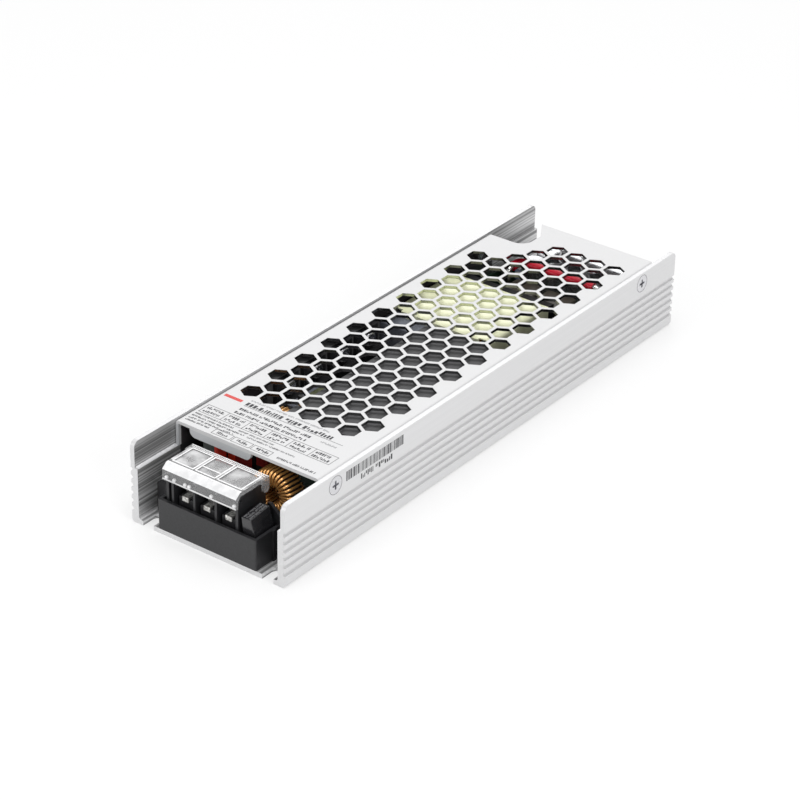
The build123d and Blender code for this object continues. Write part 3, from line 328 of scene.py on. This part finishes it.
# The input choke's core is painted near black, as painted shade in the gaps between its turns
dress(finish("choke_core_painted_shade", (0.012, 0.011, 0.011), 0.6, grain=1600, tint=0.2), "input_choke_core")
dress(finish("brown_resin", (0.045, 0.044, 0.032), 0.3, grain=700, tint=0.2), "output_chokes")
dress(copper_enamel, "input_choke_winding", "filter_choke_windings", "transformer_winding")
dress(yellow_tape, "transformer_tape", "transformer_bobbin")
dress(
    finish("olive_tape", (0.10, 0.11, 0.05), 0.3, grain=350, tint=0.1, coat=0.3),
    "standby_transformer_winding", "correction_inductor_winding",
)
print("materials so far:", len(bpy.data.materials))

# %% [markdown]
# ## Tape round the core
# The pale tape also goes round the far limb of the main transformer's core. Behind it the
# core is painted dark, as painted shade. Two bands along Y colour the core, so the solid stays whole.
# %% Taped core
taped_ferrite = finish("taped_ferrite", (0.16, 0.17, 0.20), 0.5, grain=1600, tint=0.18, bump=0.2)
taped_ferrite.node_tree.nodes["Principled BSDF"].inputs["Specular IOR Level"].default_value = 0.2
taped_limb, painted_shade_far_edge = ("Y", 0.0465, 0.003), ("Y", 0.0515, 0.002)
overlay(taped_ferrite, [taped_limb], pale_tape)
# Painted shade on the core's far edge
overlay(taped_ferrite, [painted_shade_far_edge], (0.008, 0.008, 0.009))
dress(taped_ferrite, "transformer_core")
print("taped core:", len(taped_ferrite.node_tree.nodes), "shader nodes")

# %% [markdown]
# ## Box capacitors
# The grey capacitor has a red edge. The film capacitor has a painted highlight near its left
# end, two dark bands of painted shade, and a dark field low on its right part. Bands along X
# give them all.
# %% Capacitors
grey_case = finish("grey_case", (0.06, 0.07, 0.065), 0.45, grain=900, tint=0.08)
overlay(grey_case, [("X", -0.0124, 0.0006)], (0.75, 0.05, 0.03))
dress(grey_case, "line_capacitor")
red_case = finish(
    "red_case", (0.28, 0.022, 0.02), 0.3, grain=260, tint=0.12, bump=0.15, depth=0.0002, coat=0.5,
)
# Painted highlight near the left end
overlay(red_case, [("X", -0.0108, 0.0014)], (0.95, 0.07, 0.03))
# Painted shade at the gap by the left end
overlay(red_case, [("X", -0.0136, 0.0014)], (0.02, 0.012, 0.014))
# Painted shade in a narrow dark band
overlay(red_case, [("X", -0.0026, 0.0008)], (0.006, 0.005, 0.006))
overlay(red_case, [("X", 0.0004, 0.0022), ("Z", 0.0115, 0.0056)], (0.03, 0.03, 0.03))
dress(red_case, "film_capacitor")
print("film capacitor:", len(red_case.node_tree.nodes), "shader nodes")

# %% [markdown]
# ## Sleeve, trimmer and lamp
# The bus bar's sleeve is a glossy red dip with a slow ripple. The trimmer and the lamp
# are small and mostly hidden, so plain finishes do.
# %% Small parts
red_dip = finish(
    "red_dip", (0.62, 0.008, 0.03), 0.2, grain=260, tint=0.12, bump=0.15, depth=0.0002, coat=0.25,
)
trimmer_blue = finish("trimmer_blue", (0.02, 0.03, 0.06), 0.3, grain=900, tint=0.1)
rotor_white = finish("rotor_white", (0.22, 0.22, 0.21), 0.4, grain=900)
lamp_green = finish("lamp_green", (0.25, 0.62, 0.28), 0.12, grain=600, coat=0.6)
dress(red_dip, "bus_bar_sleeve")
dress(trimmer_blue, "trimmer_body")
dress(rotor_white, "trimmer_rotor")
dress(lamp_green, "status_lamp")
print("materials so far:", len(bpy.data.materials))


# %% [markdown]
# ## The clear lid
# The lid is clear plastic, a little milky. A transmitting Principled shader would need
# many bounces to get through its two faces, so part of the light passes by alpha.
# %% Clear plastic
def clear_finish(name, tone, alpha, mottle=0.0, grain=900.0):
    material = bpy.data.materials.new(name)
    material.use_nodes = True
    tree = material.node_tree
    shader = tree.nodes["Principled BSDF"]
    shader.inputs["Base Color"].default_value = (tone, tone, tone * 1.01, 1)
    shader.inputs["Roughness"].default_value = 0.15
    shader.inputs["Alpha"].default_value = alpha
    if mottle:
        place = tree.nodes.new("ShaderNodeTexCoord")
        noise = tree.nodes.new("ShaderNodeTexNoise")
        noise.inputs["Scale"].default_value = grain
        noise.inputs["Detail"].default_value = 3
        tree.links.new(place.outputs["Object"], noise.inputs["Vector"])
        spread = tree.nodes.new("ShaderNodeMapRange")
        spread.inputs["From Min"].default_value = 0.35
        spread.inputs["From Max"].default_value = 0.65
        spread.inputs["To Min"].default_value = alpha - mottle
        spread.inputs["To Max"].default_value = alpha + mottle
        tree.links.new(noise.outputs["Fac"], spread.inputs["Value"])
        tree.links.new(spread.outputs["Result"], shader.inputs["Alpha"])
    return material


clear_plastic = clear_finish("clear_plastic", 0.55, 0.28)
# Pale, nearly opaque finish: painted highlights on the lid's rims and nibs
lid_highlight_plastic = clear_finish("lid_highlight_plastic", 0.93, 0.84, mottle=0.1, grain=400)
window_plastic = clear_finish("window_plastic", 0.76, 0.46, mottle=0.3, grain=170)
dress(clear_plastic, "terminal_lid")
print("clear finishes:", clear_plastic.name, lid_highlight_plastic.name, window_plastic.name)


# %% [markdown]
# ## Print
# The cover is printed with plain marks: rows of small dashes, a ruled table and a red
# bar. Each mark is one flat face, a few hundredths of a millimetre above the paint, so it
# shows from all sides. A pattern in the paint would also do, but its edges would be soft.
# %% Rows of dashes
print_lift = 0.02
cover_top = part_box("top_cover")[1][2] * 1000 + print_lift


def on_cover(u, v):
    return Vector((u, v, cover_top)) / 1000


def add_patch(builder, left, bottom, wide, tall, place=on_cover):
    """One flat mark, in millimetres. `place` puts a point of the flat layout on its surface."""
    corners = ((left, bottom), (left + wide, bottom), (left + wide, bottom + tall), (left, bottom + tall))
    return builder.faces.new([builder.verts.new(place(u, v)) for u, v in corners])


def add_strokes(builder, left, bottom, wide, tall, seed, weight=0.3, place=on_cover):
    """A line of upright dashes of uneven width and height, in groups."""
    chance = random.Random(seed)
    x = left
    while x < left + wide:
        for _ in range(chance.randint(5, 14)):
            dash = tall * weight * chance.choice((0.6, 0.9, 1.3))
            if x + dash > left + wide:
                return
            high = tall * chance.choice((0.55, 0.75, 1, 1))
            add_patch(builder, x, bottom + chance.choice((0, tall - high)), dash, high, place)
            x += dash + tall * 0.2
        x += tall * 0.45


ink = finish("print_ink", (0.03, 0.03, 0.035), 0.5, grain=4000, tint=0.1)
marks = bmesh.new()
for left, bottom, wide, tall, weight in (
    (-15.9, -61.6, 31.1, 1.75, 0.42),
    (-15.6, -64.6, 25.6, 1.15, 0.42), (-15.6, -66.8, 25.6, 1.15, 0.42),
    (-23.9, -73.9, 14.0, 0.75, 0.4), (-23.9, -75.3, 19.0, 0.75, 0.4),
    (-8.0, -73.9, 12.5, 0.7, 0.3), (-4.0, -75.3, 17.0, 0.7, 0.3),
    (-23.9, -76.7, 16.0, 0.75, 0.4), (-23.9, -78.1, 9.0, 0.75, 0.4),
    (9.5, -78.6, 13.5, 0.9, 0.34),
):
    add_strokes(marks, left, bottom, wide, tall, seed=int(abs(left * 7 + bottom * 13)), weight=weight)
print("dashes:", len(marks.faces))


# %% [markdown]
# ## A ruled table and three boxes
# The table has equal cells with two short rows of dashes in each. Three small boxes stand
# along the edge, and a rule lies under the first row. One face would fill a frame's
# middle, so each frame is four thin patches.
# %% Table and boxes
def new_piece(name, mesh_builder, material, body="enclosure"):
    mesh = bpy.data.meshes.new(name)
    mesh_builder.to_mesh(mesh)
    mesh_builder.free()
    mesh.materials.append(material)
    piece = bpy.data.objects.new(name, mesh)
    bpy.context.collection.objects.link(piece)
    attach(piece, body)
    return piece


def add_frame(builder, left, bottom, wide, tall, line, place=on_cover):
    """A rectangular outline from four patches."""
    add_patch(builder, left, bottom, wide, line, place)
    add_patch(builder, left, bottom + tall - line, wide, line, place)
    add_patch(builder, left, bottom + line, line, tall - 2 * line, place)
    add_patch(builder, left + wide - line, bottom + line, line, tall - 2 * line, place)


rule = 0.16
cell_count = 6
table_left, table_bottom, table_wide, table_tall = -23.9, -72.4, 46.8, 4.7
cell_wide = table_wide / cell_count
add_frame(marks, table_left, table_bottom, table_wide, table_tall, rule)
for cell in range(cell_count):
    cell_left = table_left + cell * cell_wide
    add_patch(marks, cell_left, table_bottom, rule, table_tall)
    for row in range(2):
        add_strokes(
            marks, cell_left + 0.9, table_bottom + 0.7 + 2 * row, cell_wide - 1.8, 1.2,
            seed=40 + 2 * cell + row, weight=0.36,
        )
box_wide = 6.6
for x in (-13.4, -6.4, 0.6):
    add_frame(marks, x, -79.3, box_wide, 2.6, rule)
    add_strokes(marks, x + 1.4, -78.6, box_wide - 2.2, 1.2, seed=int(x * 5), weight=0.36)
add_patch(marks, -15.9, -62.1, 35.5, rule)
print("printed marks:", len(marks.faces))
new_piece("cover_print", marks, ink)

# %% [markdown]
# ## Fine grey rows
# Two rows are printed finer and look grey from here. Thinner dashes would show that up
# close. A grey ink of their own is simpler, and the dashes stay the same.
# %% Fine print
grey_ink_and_shade = finish("grey_ink_and_shade", (0.30, 0.30, 0.31), 0.5, grain=4000, tint=0.1)
fine_marks = bmesh.new()
add_strokes(fine_marks, -15.9, -58.9, 28.0, 0.8, seed=5, weight=0.3)
add_strokes(fine_marks, 13.5, -64.4, 6.0, 0.8, seed=6, weight=0.3)
print("fine printed marks:", len(fine_marks.faces))
new_piece("cover_fine_print", fine_marks, grey_ink_and_shade)

# %% [markdown]
# ## The red bar
# One plain bar is printed in red. It is a single patch, and a piece of its own because
# its ink differs.
# %% Red bar
red_ink = finish("red_ink", (0.62, 0.05, 0.04), 0.45, grain=3000, tint=0.08)
red_bar = bmesh.new()
add_patch(red_bar, -24.1, -61.2, 6.4, 1.3)
print("red bar:", len(red_bar.faces))
new_piece("cover_red_bar", red_bar, red_ink)

# %% [markdown]
# ## Print on the right wall
# Upright bars of uneven width, and a short row of dashes below them, are printed on the
# wall. The random seed is fixed, so each run gives the same bars.
# %% Side print
wall_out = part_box("base_channel")[1][0] * 1000 + print_lift
bars_start, bars_end = -70.4, -44.4


def on_right_wall(u, v):
    return Vector((wall_out, u, v)) / 1000


side_marks = bmesh.new()
chance = random.Random(11)
along = bars_start
while along < bars_end:
    bar = chance.choice((0.2, 0.2, 0.35, 0.5))
    add_patch(side_marks, along, 21.4, bar, 3.1, on_right_wall)
    along += bar + chance.choice((0.18, 0.25, 0.4))
add_strokes(side_marks, -63.8, 19.0, 14.5, 1.7, seed=8, weight=0.3, place=on_right_wall)
print("side marks:", len(side_marks.faces))
new_piece("side_print", side_marks, ink)

# %% [markdown]
# ## Rims of the cover screws
# The heads are sunk in the walls, and the gap round each is drawn as a thin dark ring of
# painted shade. Two circles bridged together make a flat ring there. A bevelled groove would
# also work, but it would change the wall that the CAD solid fixes.
# %% Screw rims
# Painted shade: a thin dark ring round each sunk screw head
rim_radius, rim_line, rim_height = 2.88, 0.2, 22.4
screw_shade_rims = bmesh.new()
for side, y in ((1, -75.1), (1, 77.9), (-1, -75.1), (-1, 62.0)):
    place = Matrix.Translation(Vector((side * wall_out, y, rim_height)) / 1000)
    place = place @ Matrix.Rotation(side * math.pi / 2, 4, "Y")
    for radius in (rim_radius - rim_line, rim_radius):
        bmesh.ops.create_circle(screw_shade_rims, segments=40, radius=radius / 1000, matrix=place)
    bmesh.ops.bridge_loops(screw_shade_rims, edges=[edge for edge in screw_shade_rims.edges if edge.is_wire])
# Bridging leaves the facing open, so the faces that look into the case are turned round
screw_shade_rims.normal_update()
inward = [face for face in screw_shade_rims.faces if face.normal.x * face.calc_center_median().x < 0]
bmesh.ops.reverse_faces(screw_shade_rims, faces=inward)
print("screw rims:", len(screw_shade_rims.faces), "faces,", len(inward), "turned round")
new_piece("screw_shade_rims", screw_shade_rims, grey_ink_and_shade)


# %% [markdown]
# ## The path of a winding
# A wound choke is one long wire. Its middle line goes round the ring in turns, with
# rounded corners. The turns could be modelled once and copied, but then they would not
# join, so the whole path is worked out point by point.
# %% Path of the input choke's wire
def turn_path(middle, across, upward, axis, hole, outer, thick, start, turns, arc, steps=24):
    """The middle line of a wire wound round a ring: `arc` degrees are covered in `turns` turns.

    Every second turn sits deeper in the hole, because the turns crowd there.
    """
    path = []
    for index in range(turns * steps + 1):
        share = index / (turns * steps)
        angle = math.radians(start + share * arc)
        outward = math.cos(angle) * across + math.sin(angle) * upward
        loop = math.tau * (index % steps) / steps
        inner = hole + (0.75 if (index // steps) % 2 else 0)
        half_wide = (outer - inner) / 2
        reach = max(abs(math.cos(loop)) ** 3, abs(math.sin(loop)) ** 3) ** (1 / 3)
        radial = (outer + inner) / 2 + half_wide * math.cos(loop) / reach
        height = thick / 2 * math.sin(loop) / reach
        rounding = 0.86 if abs(math.cos(loop)) > 0.6 and abs(math.sin(loop)) > 0.6 else 1.0
        radial = (outer + inner) / 2 + (radial - (outer + inner) / 2) * rounding
        path.append(middle + radial * outward + height * rounding * axis)
    return path


choke_low, choke_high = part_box("input_choke_winding")
choke_middle = (Vector(choke_low) + Vector(choke_high)) * 500
choke_outer = (choke_high[2] - choke_low[2]) * 500
choke_thick = (choke_high[1] - choke_low[1]) * 1000
choke_wire_radius = 0.38
choke_path = turn_path(
    choke_middle, Vector((1, 0, 0)), Vector((0, 0, 1)), Vector((0, -1, 0)),
    hole=2.78, outer=choke_outer - choke_wire_radius, thick=choke_thick - 2 * choke_wire_radius,
    start=-85, turns=36, arc=350,
)
print("input choke path:", len(choke_path), "points")


# %% [markdown]
# ## Wire of the input choke
# The CAD solid keeps the winding's outline for fit, and here the wire itself is made. A
# circle is set at each point of the path, turned to face along it, and each is bridged to
# the next. A curve with a bevel would do the same, but a mesh keeps the count of faces in
# plain view.
# %% Input choke wire
def sweep_wire(builder, path, radius, sides=8):
    """A round wire along a list of points, all in millimetres."""
    points = [Vector(point) for point in path]
    aside = None
    rings = []
    for index, point in enumerate(points):
        ahead = points[min(index + 1, len(points) - 1)] - points[max(index - 1, 0)]
        ahead.normalize()
        guide = aside if aside is not None else ahead.orthogonal()
        aside = (guide - guide.dot(ahead) * ahead).normalized()
        place = Matrix((aside, ahead.cross(aside), ahead)).transposed().to_4x4()
        place.translation = point / 1000
        verts = bmesh.ops.create_circle(builder, segments=sides, radius=radius / 1000, matrix=place)["verts"]
        rings.append(list(dict.fromkeys(edge for vert in verts for edge in vert.link_edges)))
    for before, after in zip(rings, rings[1:]):
        for face in bmesh.ops.bridge_loops(builder, edges=before + after)["faces"]:
            face.smooth = True
    for end in (rings[0], rings[-1]):
        bmesh.ops.contextual_create(builder, geom=end)
    bmesh.ops.recalc_face_normals(builder, faces=builder.faces)


choke_wire = bmesh.new()
board_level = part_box("circuit_board")[1][2] * 1000
lead = Vector((choke_path[0].x + 0.6, choke_path[0].y, board_level))
tail = Vector((choke_path[-1].x - 0.6, choke_path[-1].y, board_level))
sweep_wire(choke_wire, [lead, *choke_path, tail], choke_wire_radius)
print("input choke wire faces:", len(choke_wire.faces))
choke_piece = new_piece("input_choke_wire", choke_wire, copper_enamel)
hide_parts("input_choke_winding")

# %% [markdown]
# ## Wire of the filter choke
# This choke lies flat, with a winding on each half of its ring. Each is its own wire,
# thicker and with fewer turns, along the same kind of path.
# %% Filter choke wire
filter_low, filter_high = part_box("filter_choke_windings")
filter_middle = (Vector(filter_low) + Vector(filter_high)) * 500
filter_outer = (filter_high[1] - filter_low[1]) * 500
filter_wire = bmesh.new()
filter_wire_radius, filter_inset = 0.52, 0.55
for start in (20, 200):
    path = turn_path(
        filter_middle, Vector((1, 0, 0)), Vector((0, 1, 0)), Vector((0, 0, 1)),
        hole=3.6, outer=filter_outer - filter_inset,
        thick=(filter_high[2] - filter_low[2]) * 1000 - 2 * filter_inset,
        start=start, turns=11, arc=140,
    )
    sweep_wire(filter_wire, path, filter_wire_radius)
print("filter choke wire faces:", len(filter_wire.faces))
filter_piece = new_piece("filter_choke_wire", filter_wire, copper_enamel)
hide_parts("filter_choke_windings")


# %% [markdown]
# ## Painted highlights on the lid's rims
# The clear lid's rims catch light and look white. Thin skins just above the CAD faces are
# painted pale and nearly opaque as painted highlights, since one material on the whole lid
# could not show both.
# %% Lid rims
lid_low, lid_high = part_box("terminal_lid")
lid_left, lid_right = lid_low[0] * 1000, lid_high[0] * 1000
lid_front, lid_back = lid_low[1] * 1000, lid_high[1] * 1000
lid_top = lid_high[2] * 1000
lid_bevel = 1.8
windows = ((-14.75, -7.6), (-6.5, 0.15), (1.25, 9.5))
window_front, window_back = lid_front + 3.5, lid_back - 1.7


def on_lid(u, v):
    return Vector((u, v, lid_top + 0.02)) / 1000


def on_lid_bevel(u, v):
    return Vector((u, lid_front + v * lid_bevel - 0.015, lid_top - 1.5 + v * 1.5 + 0.015)) / 1000


def on_lid_lip(u, v):
    return Vector((u, lid_front - 0.02, v)) / 1000


frame_reach, notch_pitch = 0.3, 0.6
plate_left, plate_right = lid_left + 0.6, lid_right - 0.6
plate_wide = plate_right - plate_left
rims = bmesh.new()
for window_left, window_right in windows:
    add_frame(
        rims, window_left - frame_reach, window_front - frame_reach,
        window_right - window_left + 2 * frame_reach,
        window_back - window_front + 2 * frame_reach, 0.45, on_lid,
    )
add_patch(rims, plate_left, window_back + 0.55, plate_wide, 0.25, on_lid)
add_patch(rims, lid_left, lid_back - 0.3, lid_right - lid_left, 0.3, on_lid)
add_patch(rims, plate_left, lid_front + lid_bevel, plate_wide, 0.8, on_lid)
add_patch(rims, plate_left, 0, plate_wide, 1, on_lid_bevel)
add_patch(rims, plate_left, 18.3, plate_wide, 0.5, on_lid_lip)
add_patch(rims, windows[1][0], -91.0, windows[1][1] - windows[1][0], 0.4, on_lid)
for step in range(int(plate_wide / notch_pitch)):
    add_patch(rims, plate_left + step * notch_pitch, window_back + 0.85, 0.22, 0.5, on_lid)
print("lid rim skins:", len(rims.faces))
new_piece("lid_rims", rims, lid_highlight_plastic, body="lid")


# %% [markdown]
# ## Mottled panes
# The three windows are thinner and mottled, so their skins lie a little below the top.
# The strips between them get the same look at the top.
# %% Lid panes
def in_window(u, v):
    return Vector((u, v, lid_top - 0.38)) / 1000


panes = bmesh.new()
pane_deep = window_back - window_front
for pane_left, pane_right in windows:
    add_patch(panes, pane_left, window_front, pane_right - pane_left, pane_deep, in_window)
edges = [plate_left]
for window_left, window_right in windows:
    edges += [window_left - frame_reach, window_right + frame_reach]
edges.append(plate_right)
for rim_left, rim_right in zip(edges[::2], edges[1::2]):
    add_patch(panes, rim_left, window_front, rim_right - rim_left, pane_deep, on_lid)
print("lid panes:", len(panes.faces))
new_piece("lid_panes", panes, window_plastic, body="lid")

# %% [markdown]
# ## Nibs on the lip
# Small round nibs sit along the front lip. Each is a small sphere sunk in the lip, which
# is quicker to make than a dome and looks the same.
# %% Lid nibs
nibs = bmesh.new()
for x in (-14.5, -11.7, -7.8, -6.3, 1.6, 9.7):
    bmesh.ops.create_uvsphere(
        nibs, u_segments=12, v_segments=8, radius=0.0006,
        matrix=Matrix.Translation(Vector((x, lid_front + 0.25, 19.2)) / 1000),
    )
for face in nibs.faces:
    face.smooth = True
print("lid nibs:", len(nibs.faces))
# The nibs carry the same pale painted highlight as the rims
new_piece("lid_nibs", nibs, lid_highlight_plastic, body="lid")

# %% [markdown]
# ## Marks on the can tops
# Each output capacitor has a coloured segment and a short line on its top. A segment is a
# filled circle cut by a plane, which keeps only the part on the near side.
# %% Can tops
can_low, can_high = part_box("output_capacitors")
can_columns, can_gap = 4, 0.3
can_row = (can_high[0] - can_low[0]) * 1000 - (can_columns - 1) * can_gap
can_radius = can_row / (2 * can_columns)
row_step = (can_high[1] - can_low[1]) * 1000 - 2 * can_radius
segment_radius = 3.1
chord = segment_radius * math.cos(math.radians(50))
top_marks = bmesh.new()


def on_cans(u, v):
    return Vector((u, v, can_high[2] * 1000 + print_lift)) / 1000


for column in range(can_columns):
    for row in range(2):
        x = can_low[0] * 1000 + can_radius + column * (2 * can_radius + can_gap)
        y = can_low[1] * 1000 + can_radius + row * row_step
        disc = bmesh.ops.create_circle(
            top_marks, cap_ends=True, segments=36, radius=segment_radius / 1000,
            matrix=Matrix.Translation(on_cans(x, y)),
        )["verts"]
        top = disc[0].link_faces[0]
        bmesh.ops.bisect_plane(
            top_marks, geom=[*disc, *top.edges, top], dist=1e-6,
            plane_co=on_cans(x, y - chord), plane_no=(0, 1, 0), clear_outer=True,
        )
        add_patch(top_marks, x - 0.9, y + 0.6, 1.8, 0.35, on_cans)
slate_ink = finish("slate_ink", (0.10, 0.12, 0.20), 0.4, grain=3000)
print("can top marks:", len(top_marks.faces))
new_piece("can_marks", top_marks, slate_ink)

# %% [markdown]
# ## Raised marks on the fuse
# The fuse has rows of faint raised dashes on its sloped top. They are drawn flat in pale
# grey, as painted highlights on the raised dashes. The top leans with the fuse, so their
# layout is turned by the same seven degrees.
# %% Fuse top
fuse_lean = math.radians(7)
fuse_middle = Vector((13.2, -91.5, 12.8))
fuse_rise = 4.0 + print_lift


def on_fuse(along, across):
    """A point on the sloped top: `along` its length, and `across` from its middle line."""
    return (fuse_middle + Vector((
        -across,
        along * math.cos(fuse_lean) - fuse_rise * math.sin(fuse_lean),
        along * math.sin(fuse_lean) + fuse_rise * math.cos(fuse_lean),
    ))) / 1000


fuse_marks = bmesh.new()
for row in range(3):
    add_strokes(fuse_marks, -3.6, -1.35 + row * 0.95, 7.2, 0.7, seed=70 + row, place=on_fuse)
print("fuse marks:", len(fuse_marks.faces))
# Pale grey on the fuse's dashes is a painted highlight
new_piece("fuse_marks", fuse_marks, finish("fuse_relief_highlight", (0.16, 0.16, 0.165), 0.35, grain=2500))

# %% [markdown]
# ## The floor
# The floor is plain white. Camera, glossy and transmission rays see it partly as light
# of its own, so it comes out white while the object's shadow still darkens it. Other rays
# meet plain paint. A brighter lamp would whiten it too, but would wash out the case.
# %% Floor
floor_mesh = bpy.data.meshes.new("floor")
floor_builder = bmesh.new()
bmesh.ops.create_grid(floor_builder, x_segments=1, y_segments=1, size=4.0)
floor_builder.to_mesh(floor_mesh)
floor_builder.free()
floor = bpy.data.objects.new("floor", floor_mesh)
bpy.context.collection.objects.link(floor)

floor_white = bpy.data.materials.new("floor_white")
floor_white.use_nodes = True
tree = floor_white.node_tree
tree.nodes.clear()
paint = tree.nodes.new("ShaderNodeBsdfDiffuse")
paint.inputs["Color"].default_value = (0.62, 0.62, 0.62, 1)
shaded = tree.nodes.new("ShaderNodeBsdfDiffuse")
shaded.inputs["Color"].default_value = (0.42, 0.42, 0.42, 1)
glow = tree.nodes.new("ShaderNodeEmission")
glow.inputs["Color"].default_value = (1, 1, 1, 1)
glow.inputs["Strength"].default_value = 0.5
bright = tree.nodes.new("ShaderNodeAddShader")
rays = tree.nodes.new("ShaderNodeLightPath")
either = tree.nodes.new("ShaderNodeMath")
either.operation = "MAXIMUM"
any_of = tree.nodes.new("ShaderNodeMath")
any_of.operation = "MAXIMUM"
mix = tree.nodes.new("ShaderNodeMixShader")
out = tree.nodes.new("ShaderNodeOutputMaterial")
tree.links.new(shaded.outputs[0], bright.inputs[0])
tree.links.new(glow.outputs[0], bright.inputs[1])
tree.links.new(rays.outputs["Is Camera Ray"], either.inputs[0])
tree.links.new(rays.outputs["Is Glossy Ray"], either.inputs[1])
tree.links.new(either.outputs[0], any_of.inputs[0])
tree.links.new(rays.outputs["Is Transmission Ray"], any_of.inputs[1])
tree.links.new(any_of.outputs[0], mix.inputs[0])
tree.links.new(paint.outputs[0], mix.inputs[1])
tree.links.new(bright.outputs[0], mix.inputs[2])
tree.links.new(mix.outputs[0], out.inputs["Surface"])
floor_mesh.materials.append(floor_white)
print("floor nodes:", len(tree.nodes))


# %% [markdown]
# ## World and lamps
# Four square lamps light the case softly: above, on the right wall, on the terminals, and
# from behind for the left wall's inner face. The world fills the rest. One picture of a
# room could do it all, but lamps can be moved one at a time.
# %% Light
def soft_lamp(name, place, aim, size, power):
    data = bpy.data.lights.new(name, "AREA")
    data.shape = "SQUARE"
    data.size = size
    data.energy = power
    lamp = bpy.data.objects.new(name, data)
    bpy.context.collection.objects.link(lamp)
    turn = (Vector(aim) - Vector(place)).to_track_quat("-Z", "Y").to_matrix().to_4x4()
    lamp.matrix_world = Matrix.Translation(Vector(place)) @ turn


world = bpy.data.worlds.new("studio")
bpy.context.scene.world = world
world.use_nodes = True
world.node_tree.nodes["Background"].inputs["Color"].default_value = (1, 1, 1, 1)
world.node_tree.nodes["Background"].inputs["Strength"].default_value = 0.5
soft_lamp("top_light", (0.05, -0.05, 1.4), (0, 0, 0), 1.1, 12.5)
soft_lamp("right_light", (0.9, -0.35, 0.45), (0, 0, 0.02), 0.6, 3.4)
soft_lamp("front_light", (-0.3, -0.9, 0.4), (0, -0.05, 0.02), 0.5, 1.8)
soft_lamp("back_light", (-0.72, 0.97, 0.75), (0, 0, 0.02), 0.7, 2.3)
bpy.context.scene.view_settings.view_transform = "Standard"
print("lamps:", len(bpy.data.lights))
